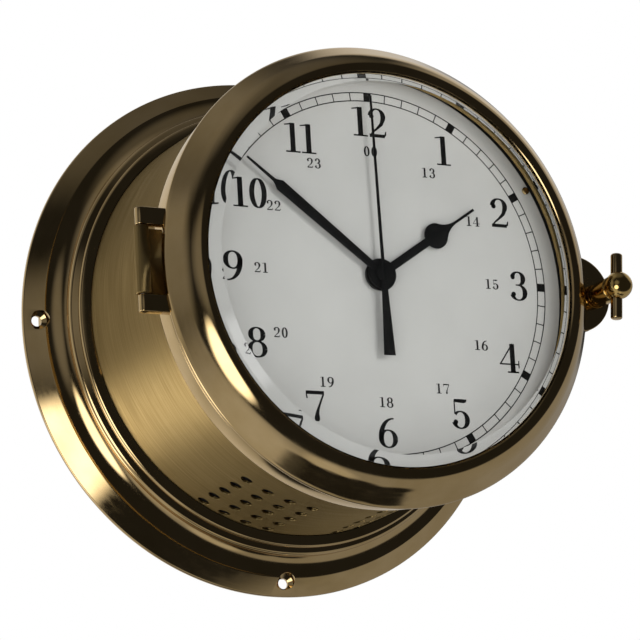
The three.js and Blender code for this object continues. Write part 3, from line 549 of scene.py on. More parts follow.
def block(low: Sequence[float], high: Sequence[float], bevel: float) -> Mesh:
    """Make a box between two corners, with rounded edges."""
    mesh = bmesh.new()
    bmesh.ops.create_cube(mesh, size=1.0)
    bmesh.ops.scale(mesh, vec=[b - a for a, b in zip(low, high)], verts=mesh.verts)
    shifted(mesh, *((a + b) / 2 for a, b in zip(low, high)))
    return rounded(mesh, mesh.edges[:], bevel, EDGE_SEGMENTS)


def gathered(meshes: Iterable[Mesh]) -> Mesh:
    """Put several meshes into one, side by side."""
    whole = bmesh.new()
    for mesh in meshes:
        data = bpy.data.meshes.new("part")
        mesh.to_mesh(data)
        mesh.free()
        whole.from_mesh(data)
        bpy.data.meshes.remove(data)
    return whole


def carved(body: Mesh, tool: Mesh) -> Mesh:
    """Cut one mesh with another.

    Args:
        body: the mesh that is kept.
        tool: the mesh that cuts it.

    Returns:
        The result as a new mesh.
    """
    objects = [shaped("body", body), shaped("tool", tool)]
    modifier = objects[0].modifiers.new("cut", "BOOLEAN")
    modifier.object = objects[1]
    modifier.operation = "DIFFERENCE"
    modifier.solver = "EXACT"
    modifier.use_self = True
    result = bmesh.new()
    result.from_object(objects[0], bpy.context.evaluated_depsgraph_get())
    for item in objects:
        data = item.data
        bpy.data.objects.remove(item)
        bpy.data.meshes.remove(data)
    return tidy(result)


def arc_points(centre: Point, radius: float, start: float, end: float, steps: int) -> list[Point]:
    """List points on an arc in the plane of the dial, with angles in degrees from 3 o'clock."""
    angles = [math.radians(start + (end - start) * i / steps) for i in range(steps + 1)]
    return [(centre[0] + radius * math.cos(a), centre[1] + radius * math.sin(a)) for a in angles]


def curve(start: Point, pull: Point, end: Point, steps: int) -> list[Point]:
    """List the points after the first on a curve that leaves a point towards another and ends in a third."""
    first, middle, last = Vector(start), Vector(pull), Vector(end)
    shares = [i / steps for i in range(1, steps + 1)]
    return [tuple(first.lerp(middle, t).lerp(middle.lerp(last, t), t)) for t in shares]


def on_clock(radius: float, hour: float) -> Point:
    """Give the place on the dial at a radius and an hour."""
    angle = math.radians(30 * hour)
    return radius * math.sin(angle), radius * math.cos(angle)


def half_round(
    radius: float, root: float, heights: Point, edge: float, hole_radius: float, drill_end: float, steps: int,
) -> Mesh:
    """Shape a plate with a half-round end at the latch, drilled for its screw.

    Args:
        radius: the radius of its end.
        root: how far from the clock's axis it starts.
        heights: the height of its back and of its face.
        edge: how far its edges are rounded.
        hole_radius: the radius of its hole.
        drill_end: the height that the drill comes from.
        steps: how many lines its end is drawn with.

    Returns:
        The drilled plate.
    """
    outline = arc_points((LATCH_CENTRE, 0), radius, -90, 90, steps) + [(root, radius), (root, -radius)]
    body = plate(outline, *heights, edge, EDGE_SEGMENTS)
    hole = shifted(rod(hole_radius, heights[0] - OVERRUN, drill_end), SCREW_REACH)
    return rotated(carved(body, hole), LATCH_ANGLE, "Z")


# Sub-assemblies


@dataclass
class WallFlange:
    """Turned flange: rolled rim, slope, cove and a collar of two beads, with four countersunk holes."""

    bore: float = 72.3
    rim_radius: float = 90.0
    rim_height: float = 2.2
    rim_round: float = 0.8
    rim_end: float = 60.0
    slope_top: Point = (84.2, 6.8)
    slope_edge: Point = (0.35, 0.25)
    land: float = 0.6
    cove_pull: Point = (79.9, 8.0)
    collar_foot: Point = (78.0, 10.6)
    lower_bead: float = 2.2
    upper_bead: float = 1.5
    bead_start: float = -40.0
    bead_end: float = 62.0
    collar_edge: float = 0.5
    collar_fillet: float = 0.7
    lip_radius: float = 69.9
    lip_height: float = 2.4
    screw_circle: float = 85.8
    hole_radius: float = 1.8
    sink_radius: float = 3.2
    sink_depth: float = 1.1
    sink_height: float = 4.4
    groove_half: float = 2.1
    groove_depth: float = 2.4
    holes: int = 4

    def moulding(self) -> Mesh:
        """Turn the flange's section."""
        foot_height = self.collar_foot[1]
        top_radius, top_height = self.slope_top
        inner, outer = self.screw_circle - self.groove_half, self.screw_circle + self.groove_half
        section = Section().to(self.lip_radius, 0).to(inner, 0).to(inner, self.groove_depth)
        section.to(outer, self.groove_depth).to(outer, 0)
        section.corner(self.rim_radius, 0, self.rim_round, top=False)
        rim_centre = (self.rim_radius - self.rim_round, self.rim_height - self.rim_round)
        section.arc(rim_centre, (self.rim_round,) * 2, 0, self.rim_end, CORNER_STEPS)
        section.to(top_radius + self.slope_edge[0], top_height - self.slope_edge[1])
        section.to(top_radius, top_height).to(top_radius - self.land, top_height)
        section.bend(self.cove_pull, self.collar_foot)
        section.to(self.bore, foot_height)
        section.to(self.bore, self.lip_height).to(self.lip_radius, self.lip_height)
        return section.turned()

    def collar(self) -> Mesh:
        """Turn the collar of two beads that closes the flange against the drum."""
        foot_radius, foot_height = self.collar_foot
        lower = (foot_radius - self.lower_bead, foot_height + self.lower_bead / 2)
        upper = (self.bore + self.upper_bead + self.collar_edge, lower[1] + self.lower_bead + self.upper_bead)
        section = Section().to(self.bore, foot_height).to(foot_radius, foot_height)
        section.arc(lower, (self.lower_bead,) * 2, 0, self.bead_end)
        section.arc(upper, (self.upper_bead,) * 2, self.bead_start, self.bead_end)
        section.to(self.bore, upper[1] + self.upper_bead + self.collar_fillet)
        return section.turned()

    def drills(self) -> Mesh:
        """Shape the drills and countersinks for the screw holes."""
        cutters = []
        for i in range(self.holes):
            x, y = on_clock(self.screw_circle, 12 * i / self.holes)
            cutter = Section().to(0, -OVERRUN).to(self.hole_radius, -OVERRUN)
            cutter.to(self.hole_radius, self.sink_height - self.sink_depth)
            cutter.to(self.sink_radius, self.sink_height)
            cutter.to(self.sink_radius, self.collar_foot[1]).to(0, self.collar_foot[1])
            cutters.append(shifted(cutter.turned(SMALL_SEGMENTS, closed=False), x, y))
        return gathered(cutters)

    def build(self, shop: Workshop) -> None:
        """Make and dress the flange."""
        mesh = carved(self.moulding(), self.drills())
        shop.piece("wall_flange", mesh, Surface.POLISHED_BRASS, Body.CASE, ["mounting_flange"])
        shop.piece("flange_collar", self.collar(), Surface.POLISHED_BRASS, Body.CASE)


@dataclass
class Drum:
    """Brushed brass tube with two groups of sound holes underneath."""

    radius: float = 72.0
    wall: float = 1.2
    back: float = 2.7
    front: float = 79.5
    edge: float = 0.2
    hole_radius: float = 2.1
    hole_edge: float = 0.3
    hole_segments: int = 28
    relief_radius: float = 3.0
    first_row: float = 20.0
    pitch: float = 8.25
    rows: int = 5
    columns: int = 4
    first_column: float = 10.3
    gauze_gap: float = 0.1
    gauze_thickness: float = 0.3
    gauze_margin: float = 4.0
    gauze_half_angle: float = 36.0

    def tube(self) -> Mesh:
        """Turn the tube with broken edges."""
        section = Section().to(self.radius - self.wall, self.back)
        section.to(self.radius - self.edge, self.back).to(self.radius, self.back + self.edge)
        section.to(self.radius, self.front - self.edge).to(self.radius - self.edge, self.front)
        return section.to(self.radius - self.wall, self.front).turned()

    def drills(self) -> Mesh:
        """Set out the sound holes on both sides of 6 o'clock, relieved behind for thin edges."""
        step, reach = math.degrees(self.pitch / self.radius), 5.0
        inner, edge, outer = self.radius - reach, self.radius - self.hole_edge, self.radius + reach
        cutters = []
        for side, row, column in itertools.product((-1, 1), range(self.rows), range(self.columns)):
            section = Section().to(0, inner).to(self.relief_radius, inner)
            section.to(self.relief_radius, edge).to(self.hole_radius, edge)
            section.to(self.hole_radius, outer).to(0, outer)
            cutter = rotated(section.turned(self.hole_segments, closed=False), 90, "X")
            shifted(cutter, z=self.first_row + row * self.pitch)
            cutters.append(rotated(cutter, side * (self.first_column + column * step), "Z"))
        return gathered(cutters)

    def gauze(self) -> Mesh:
        """Bend the strip of black gauze that covers the sound holes from inside."""
        outer = self.radius - self.wall - self.gauze_gap
        inner = outer - self.gauze_thickness
        last_row = self.first_row + (self.rows - 1) * self.pitch
        low, high = self.first_row - self.gauze_margin, last_row + self.gauze_margin
        mesh = bmesh.new()
        corners = [(inner, low), (outer, low), (outer, high), (inner, high)]
        face = mesh.faces.new([mesh.verts.new((x, 0, z)) for x, z in corners])
        bmesh.ops.spin(
            mesh, geom=[face], cent=(0, 0, 0), axis=(0, 0, 1), angle=math.radians(2 * self.gauze_half_angle),
            steps=SMALL_SEGMENTS,
        )
        return rotated(tidy(mesh), -90 - self.gauze_half_angle, "Z")

    def build(self, shop: Workshop) -> None:
        """Make and dress the drum."""
        tube = carved(self.tube(), self.drills())
        shop.piece("drum_tube", tube, Surface.SATIN_BRASS, Body.CASE, ["case_drum"])
        shop.piece("sound_hole_gauze", self.gauze(), Surface.BLACK_STEEL, Body.CASE)


@dataclass
class FrontRing:
    """Polished ring at the drum's mouth, with the hinge's knuckle and the lug for the latch screw."""

    bore: float = 72.3
    radius: float = 75.2
    back: float = 71.8
    front: float = 81.0
    heel: float = 1.1
    heel_start: float = -50.0
    heel_rise: float = 1.35
    round_: float = 1.8
    chamfer: float = 0.5
    lip_radius: float = 70.9
    lip_height: float = 1.2
    hinge_height: float = 83.2
    knuckle_radius: float = 2.4
    knuckle_half: float = 11.1
    knuckle_edge: float = 0.3
    arm_thickness: float = 3.0
    arm_edge: float = 0.35
    root: float = 0.6
    pin_radius: float = 1.25
    pin_half: float = 17.0
    lug_radius: float = 12.5
    lug_edge: float = 0.45
    screw_hole: float = 2.8

    def ring(self) -> Mesh:
        """Turn the ring itself."""
        section = Section().to(self.bore, self.back).to(self.bore + self.heel, self.back)
        heel_centre = (self.radius - self.round_, self.back + self.heel_rise * self.round_)
        section.arc(heel_centre, (self.round_,) * 2, self.heel_start, 0, 2 * CORNER_STEPS)
        section.corner(self.radius, self.front, self.chamfer, steps=CORNER_STEPS + 1)
        section.to(self.lip_radius, self.front).to(self.lip_radius, self.front - self.lip_height)
        return section.to(self.bore, self.front - self.lip_height).turned()

    def knuckle(self) -> Mesh:
        """Shape the arm and the barrel that the hinge pin goes through."""
        arm_low = self.front - self.arm_thickness
        half = self.knuckle_half
        corner = (-PIN_REACH + self.knuckle_edge, -half, arm_low)
        arm = block(corner, (-self.bore - self.root, half, self.front), self.arm_edge)
        web_end = (-PIN_REACH + self.knuckle_radius, half, self.hinge_height)
        web = block(corner, web_end, self.knuckle_edge)
        barrel = rotated(rod(self.knuckle_radius, -half, half, self.arm_edge), 90, "X")
        return gathered([arm, web, shifted(barrel, -PIN_REACH, 0, self.hinge_height)])

    def lug(self) -> Mesh:
        """Shape the half-round lug under the bezel's ear."""
        return half_round(
            self.lug_radius, self.bore + self.root, (self.back, self.front), self.lug_edge, self.screw_hole,
            drill_end=self.front + OVERRUN, steps=4 * ARC_STEPS,
        )

    def build(self, shop: Workshop) -> None:
        """Make and dress the ring and its fittings."""
        shop.piece("front_ring", self.ring(), Surface.POLISHED_BRASS, Body.CASE, ["case_front_ring"])
        shop.piece("hinge_knuckle", self.knuckle(), Surface.SATIN_BRASS, Body.CASE)
        shop.piece("latch_lug", self.lug(), Surface.POLISHED_BRASS, Body.CASE)
        pin = rotated(rod(self.pin_radius, -self.pin_half, self.pin_half, self.knuckle_edge), 90, "X")
        shifted(pin, -PIN_REACH, 0, self.hinge_height)
        shop.piece("hinge_pin_turned", pin, Surface.STEEL, Body.CASE, ["hinge_pin"])


@dataclass
class Bezel:
    """Heavy rounded ring that swings on the hinge, with two ears and a half-round latch ear."""

    rear_height: float = 81.3
    rear_radius: float = 75.6
    shoulder: Point = (76.0, 87.1)
    brow: Point = (73.1, 91.5)
    crest: Point = (67.9, 96.3)
    opening: Point = (65.4, 94.6)
    lip_back: float = 94.1
    lip_root: Point = (69.6, 89.9)
    rebate_radius: float = 69.6
    edge: float = 0.4
    ear_thickness: float = 3.8
    ear_height: float = 5.6
    ear_root: float = 2.5
    ear_edge: float = 0.35
    nose_steps: int = 16
    hinge_half: float = 17.0
    latch_radius: float = 13.0
    latch_root: float = 2.0
    latch_edge: float = 0.5
    latch_drill: float = 9.0
    latch_steps: int = 56
    neck_hole: float = 1.95

    def ring(self) -> Mesh:
        """Turn the bezel's section: a rolled edge, a straight slope and a crest that rounds over."""
        roll_start, roll_pull, roll_end = (76.8, 84.1), (77.15, 84.8), (76.95, 85.5)
        shoulder_pull, brow_pull = (76.7, 86.1), (72.2, 92.85)
        brow_end, crest_pull = (71.1, 94.0), (68.8, 96.3)
        inside = (self.crest[0] - self.opening[0], self.crest[1] - self.opening[1])
        section = Section().to(self.rebate_radius, self.rear_height)
        section.to(self.rear_radius - self.edge, self.rear_height)
        section.to(self.rear_radius, self.rear_height + self.edge).to(*roll_start)
        section.bend(roll_pull, roll_end).bend(shoulder_pull, self.shoulder).to(*self.brow)
        section.bend(brow_pull, brow_end).bend(crest_pull, self.crest)
        section.arc((self.crest[0], self.opening[1]), inside, 90, 180)
        section.to(self.opening[0], self.lip_back).to(*self.lip_root)
        return section.turned()

    def hinge_ear(self, side: int) -> Mesh:
        """Shape one hinge ear: a plate with a rounded nose round the pin.

        Args:
            side: 1 for the upper ear, -1 for the lower one.

        Returns:
            The ear's mesh.
        """
        half, root = self.ear_thickness / 2, -self.rebate_radius - self.ear_root
        nose = arc_points((-PIN_REACH, 0), half, 270, 90, self.nose_steps)
        mesh = plate([(root, -half), *nose, (root, half)], 0, self.ear_height, self.ear_edge, EDGE_SEGMENTS)
        rotated(mesh, 90, "X")
        low = side * self.hinge_half - (self.ear_height if side > 0 else 0)
        return shifted(mesh, 0, low + self.ear_height, self.rear_height + half)

    def latch_ear(self) -> Mesh:
        """Shape the half-round ear that the latch screw goes through."""
        heights = (self.rear_height, self.rear_height + self.ear_thickness)
        return half_round(
            self.latch_radius, self.rebate_radius + self.latch_root, heights, self.latch_edge, self.neck_hole,
            drill_end=self.rear_height + self.latch_drill, steps=self.latch_steps,
        )

    def build(self, shop: Workshop) -> None:
        """Make and dress the bezel."""
        shop.piece("bezel_torus", self.ring(), Surface.POLISHED_BRASS, Body.BEZEL, ["bezel_ring"])
        ears = gathered([self.hinge_ear(1), self.hinge_ear(-1)])
        shop.piece("bezel_hinge_ears", ears, Surface.POLISHED_BRASS, Body.BEZEL)
        shop.piece("bezel_latch_ear", self.latch_ear(), Surface.POLISHED_BRASS, Body.BEZEL)


@dataclass
class Crystal:
    """Bevelled glass in the bezel, with its gasket and retaining ring behind."""

    radius: float = 69.3
    back: float = 88.7
    front: float = 97.2
    flat_radius: float = 62.0
    bevel_drop: float = 7.3
    edge: float = 0.15

    def glass(self) -> Mesh:
        """Grind the glass."""
        section = Section().to(0, self.back).to(self.radius - self.edge, self.back)
        section.to(self.radius, self.back + self.edge).to(self.radius, self.front - self.bevel_drop)
        return section.to(self.flat_radius, self.front).to(0, self.front).turned(closed=False)

    def build(self, shop: Workshop) -> None:
        """Make and dress the glass, which casts no shadow on the dial."""
        pane = shop.piece("bevelled_glass", self.glass(), Surface.GLASS, Body.BEZEL, ["glass_crystal"])
        pane.visible_shadow = False
        pane.visible_diffuse = False
        shop.dress_node("glass_gasket", Surface.RUBBER)
        shop.dress_node("glass_retaining_ring", Surface.SATIN_BRASS)


@dataclass
class Pen:
    """Draws flat numbers with upright stress: upright strokes are thick, level ones are hairlines.

    A number is drawn one unit high, from its foot at 0 to its head at 1, and centred on x = 0.
    """

    stem: float = 0.182
    hairline: float = 0.052
    contrast: float = 2.2
    meshes: list[Mesh] = field(default_factory=list)

    def stroke(self, path: Sequence[Point], widths: Sequence[float] | None = None) -> None:
        """Draw a stroke along a path.

        Args:
            path: its middle line.
            widths: its width at each point, or nothing for the width that its direction gives.
        """
        mesh = bmesh.new()
        sides = []
        for i, (x, y) in enumerate(path):
            before, after = path[max(i - 1, 0)], path[min(i + 1, len(path) - 1)]
            along = Vector((after[0] - before[0], after[1] - before[1])).normalized()
            swell = (self.stem - self.hairline) * abs(along.y) ** self.contrast
            width = widths[i] if widths else self.hairline + swell
            across = Vector((-along.y, along.x, 0)) * width / 2
            middle = Vector((x, y, 0))
            sides.append((mesh.verts.new(middle + across), mesh.verts.new(middle - across)))
        for (a, b), (c, d) in zip(sides, sides[1:]):
            mesh.faces.new((a, b, d, c))
        self.meshes.append(mesh)

    def bow(self, centre: Point, radii: Point, start: float, end: float, steps: int = 28) -> None:
        """Draw part of an ellipse as a stroke, with angles in degrees."""
        angles = [math.radians(start + (end - start) * i / steps) for i in range(steps + 1)]
        x, y = centre
        self.stroke([(x + radii[0] * math.cos(a), y + radii[1] * math.sin(a)) for a in angles])

    def ball(self, x: float, y: float, radius: float = 0.085) -> None:
        """Draw a ball terminal."""
        mesh = bmesh.new()
        bmesh.ops.create_circle(mesh, cap_ends=True, radius=radius, segments=20)
        self.meshes.append(shifted(mesh, x, y))

    def bar(self, left: float, right: float, low: float, high: float) -> None:
        """Draw a level or upright bar."""
        self.stroke([(left, (low + high) / 2), (right, (low + high) / 2)], [high - low, high - low])

    def foot(self, x: float, width: float) -> None:
        """Draw the thin serif under a stem, with small brackets into it."""
        self.bar(x - width / 2, x + width / 2, 0, self.hairline)
        reach = self.stem / 2
        self.stroke([(x, 0.0), (x, 0.035), (x, 0.08)], [2.6 * self.stem, 2.4 * reach, self.stem])

    def zero(self) -> None:
        """Draw 0: a tall oval."""
        self.bow((0, 0.5), (0.222, 0.478), 0, 360, 48)

    def one(self) -> None:
        """Draw 1: a stem on a foot, with a thin flag."""
        half = self.stem / 2
        self.bar(-half, half, 0, 1)
        self.stroke([(-0.29, 0.93), (-0.12, 0.955), (0.0, 0.985)], [0.04, 0.05, 0.03])
        self.foot(0, 0.52)

    def two(self) -> None:
        """Draw 2: a ball, a bow, a sloping hairline and a heavy base with an upturned end."""
        self.ball(-0.205, 0.72)
        self.bow((-0.015, 0.715), (0.235, 0.262), 175, -25)
        self.stroke([(0.197, 0.605), (0.14, 0.46), (-0.04, 0.29), (-0.19, 0.17), (-0.28, 0.05)],
                    [0.155, 0.125, 0.075, 0.06, 0.06])
        self.bar(-0.31, 0.25, 0, 0.115)
        self.stroke([(0.2, 0.06), (0.27, 0.1), (0.3, 0.22)], [0.11, 0.07, 0.04])

    def three(self) -> None:
        """Draw 3: two bows with ball ends."""
        self.ball(-0.195, 0.8, 0.08)
        self.bow((-0.01, 0.755), (0.2, 0.222), 168, -90)
        self.stroke([(-0.1, 0.535), (0.02, 0.535)], [0.045, 0.045])
        self.bow((-0.01, 0.278), (0.245, 0.257), 90, -165)
        self.ball(-0.2, 0.215)

    def four(self) -> None:
        """Draw 4: a stem, a sloping hairline and a crossbar with an upright end."""
        stem_x = 0.11
        self.bar(stem_x - self.stem / 2, stem_x + self.stem / 2, 0, 0.985)
        self.stroke([(stem_x + 0.02, 0.99), (-0.36, 0.29)], [0.05, 0.05])
        self.bar(-0.385, 0.345, 0.268, 0.318)
        self.stroke([(0.335, 0.17), (0.335, 0.42)], [0.04, 0.04])
        self.foot(stem_x, 0.42)

    def five(self) -> None:
        """Draw 5: a heavy flag, an upright hairline and a bow with a ball end."""
        self.stroke([(-0.235, 0.94), (0.0, 0.935), (0.13, 0.93), (0.2, 0.945), (0.235, 0.99)],
                    [0.1, 0.13, 0.13, 0.1, 0.02])
        self.bar(-0.245, -0.2, 0.5, 0.94)
        self.bow((-0.02, 0.3), (0.25, 0.28), 140, -165)
        self.ball(-0.205, 0.225)

    def six(self) -> None:
        """Draw 6: an oval bowl under a long bow with a thin end."""
        self.bow((0.0, 0.305), (0.255, 0.283), 0, 360, 44)
        self.bow((0.215, 0.33), (0.47, 0.645), 188, 88)

    def seven(self) -> None:
        """Draw 7: a heavy top with a thin upright end, and a stem that swells into a drop."""
        self.bar(-0.32, 0.31, 0.88, 1)
        self.stroke([(-0.325, 0.99), (-0.325, 0.86), (-0.305, 0.74)], [0.04, 0.045, 0.05])
        drop = [(0.285, 0.9), (0.18, 0.66), (0.08, 0.42), (0.035, 0.26)]
        drop += [(0.02, y) for y in (0.13, 0.06, 0.0)]
        self.stroke(drop, [0.06, 0.065, 0.085, 0.13, 0.185, 0.19, 0.12])

    def eight(self) -> None:
        """Draw 8: two bowls."""
        self.bow((0, 0.757), (0.218, 0.222), 0, 360, 40)
        self.bow((0, 0.275), (0.265, 0.255), 0, 360, 44)

    def nine(self) -> None:
        """Draw 9: a 6 turned upside down."""
        kept = self.meshes
        self.meshes = []
        self.six()
        for mesh in self.meshes:
            shifted(rotated(shifted(mesh, 0, -0.5), 180, "Z"), 0, 0.5)
        self.meshes = kept + self.meshes

    def digit(self, value: str) -> Mesh:
        """Draw one digit.

        Args:
            value: the digit.

        Returns:
            Its flat mesh, one unit high.
        """
        drawings = (self.zero, self.one, self.two, self.three, self.four,
                    self.five, self.six, self.seven, self.eight, self.nine)
        self.meshes = []
        drawings[int(value)]()
        return gathered(self.meshes)


@dataclass
class Dial:
    """Painted dial with plain black numbers: 1 to 12, the hours from 13 to 00, and a minute track."""

    radius: float = 67.5
    edge: float = 0.15
    face: float = DIAL_FACE
    thickness: float = 0.8
    bush_hole: float = 4.1
    numeral_radius: float = 52.0
    numeral_height: float = 9.95
    numeral_spacing: float = 6.35
    eleven_spacing: float = 5.7
    level_shift: Point = (0.8, 1.3)
    upright_shift: Point = (0.2, 0.6)
    side_shift: float = 0.9
    small_radius: float = 42.0
    small_height: float = 3.3
    small_spacing: float = 2.75
    track_inner: float = 59.1
    track_outer: float = 61.9
    line: float = 0.36
    block_width: float = 2.7
    ink: float = 0.02
    nut_radius: float = 5.0
    nut_gap: float = 0.3
    nut_thickness: float = 0.8

    def blank(self) -> Mesh:
        """Turn the dial's sheet with its hole for the bush."""
        section = Section().to(self.bush_hole, self.face - self.thickness)
        section.to(self.radius, self.face - self.thickness).to(self.radius, self.face - self.edge)
        section.to(self.radius - self.edge, self.face)
        return section.to(self.bush_hole, self.face).turned(DIAL_SEGMENTS)

    def nut(self) -> Mesh:
        """Turn the blackened nut that clamps the dial, hidden by the hands' hubs."""
        low = self.face + self.nut_gap
        high = low + self.nut_thickness
        section = Section().to(self.bush_hole, low).to(self.nut_radius, low)
        section.corner(self.nut_radius, high, self.edge).to(self.bush_hole, high)
        return section.turned(SMALL_SEGMENTS)

    def inked(self, mesh: Mesh) -> Mesh:
        """Raise flat print to the dial's face and give it the ink's thickness."""
        bmesh.ops.recalc_face_normals(mesh, faces=mesh.faces)
        for face in mesh.faces:
            if face.normal.z < 0:
                face.normal_flip()
        bmesh.ops.solidify(mesh, geom=mesh.faces[:], thickness=self.ink)
        top = max(vertex.co.z for vertex in mesh.verts)
        return shifted(mesh, z=self.face + self.ink - top)

    def number(self, text: str, pen: Pen, place: Point, height: float, spacing: float) -> Mesh:
        """Set one number upright at its place.

        Args:
            text: its digits.
            pen: the pen that draws them.
            place: the middle of the number.
            height: the height of a digit.
            spacing: the distance between two digits.

        Returns:
            The flat number.
        """
        digits = []
        for i, value in enumerate(text):
            mesh = shifted(pen.digit(value), y=-0.5)
            bmesh.ops.scale(mesh, vec=(height, height, 1), verts=mesh.verts)
            offset = (i - (len(text) - 1) / 2) * spacing
            digits.append(shifted(mesh, place[0] + offset, place[1]))
        return gathered(digits)

    def track(self) -> Mesh:
        """Draw the minute track: two circles, a tick a minute and a block every five."""
        pieces = []
        for radius in (self.track_inner, self.track_outer):
            circle = Section().to(radius - self.line / 2, 0).to(radius + self.line / 2, 0)
            pieces.append(circle.turned(closed=False))
        for minute in range(60):
            width = self.block_width if minute % 5 == 0 else self.line
            mesh = bmesh.new()
            bmesh.ops.create_grid(mesh, x_segments=1, y_segments=1, size=0.5)
            bmesh.ops.scale(mesh, vec=(width, self.track_outer - self.track_inner, 1), verts=mesh.verts)
            shifted(mesh, y=(self.track_outer + self.track_inner) / 2)
            pieces.append(rotated(mesh, -6 * minute, "Z"))
        return gathered(pieces)

    def place(self, hour: int) -> Point:
        """Give the middle of a large number, which sits where it looks right and not on a strict circle.

        Args:
            hour: the number, from 1 to 12.

        Returns:
            Its place on the dial.
        """
        x, y = on_clock(self.numeral_radius, hour)
        if hour % 3 == 0:
            return x, y
        outwards, inwards = self.level_shift if abs(x) > abs(y) else self.upright_shift
        return x + math.copysign(outwards, x) + self.side_shift, y - math.copysign(inwards, y)

    def build(self, shop: Workshop) -> None:
        """Make and dress the dial and its print."""
        shop.piece("dial_sheet", self.blank(), Surface.DIAL_PAINT, Body.CASE, ["dial_plate"])
        shop.piece("dial_nut", self.nut(), Surface.BLACK_STEEL, Body.CASE, ["mounting_nut"])
        pen, bold = Pen(), Pen(stem=0.2, hairline=0.085)
        large, small = [], []
        for hour in range(1, 13):
            spacing = self.eleven_spacing if hour == 11 else self.numeral_spacing
            large.append(self.number(str(hour), pen, self.place(hour), self.numeral_height, spacing))
            place = on_clock(self.small_radius, hour)
            text = f"{(hour + 12) % 24:02d}"
            small.append(self.number(text, bold, place, self.small_height, self.small_spacing))
        shop.piece("dial_numbers", self.inked(gathered(large)), Surface.DIAL_INK, Body.CASE)
        shop.piece("dial_afternoon_numbers", self.inked(gathered(small)), Surface.DIAL_INK, Body.CASE)
        shop.piece("dial_minute_track", self.inked(self.track()), Surface.DIAL_INK, Body.CASE)


@dataclass(frozen=True)
class Hand:
    """What one hand is called, what carries it, where it points and how large it is.

    Its angle is in degrees clockwise from 12 o'clock, and its back's height is above the dial.
    """

    name: str
    replaces: str
    body: Body
    angle: float
    back: float
    thickness: float
    hub: float
    reach: float
    edge: float = 0.1

    def laid(self, flank: Sequence[Point]) -> Mesh:
        """Cut the hand and its hub and turn it to its time.

        Args:
            flank: the right side of its outline, upwards, pointing to 12 o'clock.

        Returns:
            The hand.
        """
        outline = [*flank, *((-x, y) for x, y in reversed(flank))]
        low = DIAL_FACE + self.back
        high = low + self.thickness
        blade, disc = plate(outline, low, high, self.edge), rod(self.hub, low, high, self.edge)
        return rotated(gathered([blade, disc]), -self.angle, "Z")


class Hands:
    """Three black hands on one centre, at about nine minutes to two."""

    HOUR = Hand(
        "hour_blade", "hour_hand", Body.HOUR, angle=55.8, back=1.5, thickness=0.5, hub=5.4, reach=43.5,
    )
    MINUTE = Hand(
        "minute_blade", "minute_hand", Body.MINUTE, angle=307.7, back=2.7, thickness=0.4, hub=5.0, reach=58.6,
    )
    SECOND = Hand(
        "second_blade", "second_hand", Body.SECOND, angle=359.2, back=3.7, thickness=0.3, hub=2.6, reach=60.0,
    )

    def hour_flank(self) -> list[Point]:
        """Draw the hour hand's right side: a shaft, a disc and an ogee that ends in a needle."""
        shaft, disc, rise, pull, tip, needle, neck = 1.425, 4.3, 50.0, 2.0, 0.45, 8.9, 8.8
        disc_steps, ogee_steps = 18, 10
        root = self.HOUR.reach - needle
        start = math.degrees(math.asin(shaft / disc)) - 90
        flank = [(shaft, 0.0), *arc_points((0, root - neck), disc, start, rise, disc_steps)]
        x, y = flank[-1]
        return [*flank, *curve((x, y), (x - pull, y + pull), (tip, root), ogee_steps), (tip, self.HOUR.reach)]

    def minute_flank(self) -> list[Point]:
        """Draw the minute hand's right side: a widening blade, a small shoulder and a needle."""
        blade, widest, bulge, neck, tip, needle, shoulder = 1.3, 1.95, 1.2, 0.6, 0.35, 11.8, 2.4
        root = self.MINUTE.reach - needle
        return [
            (blade, 0.0), (widest, root - shoulder), (bulge, root - shoulder / 2), (neck, root),
            (tip, self.MINUTE.reach),
        ]

    def second_flank(self) -> list[Point]:
        """Draw the second hand's right side: a thin pointer with a widening tail."""
        tail_reach, tail, waist, pointer, tip, hub = 27.3, 2.1, 1.0, 0.6, 0.4, 2.6
        return [(tail, -tail_reach), (waist, -hub), (pointer, hub), (tip, self.SECOND.reach)]

    def build(self, shop: Workshop) -> None:
        """Make and dress the hands."""
        flanks = (self.hour_flank(), self.minute_flank(), self.second_flank())
        for hand, flank in zip((self.HOUR, self.MINUTE, self.SECOND), flanks):
            shop.piece(hand.name, hand.laid(flank), Surface.HAND_PAINT, hand.body, [hand.replaces])


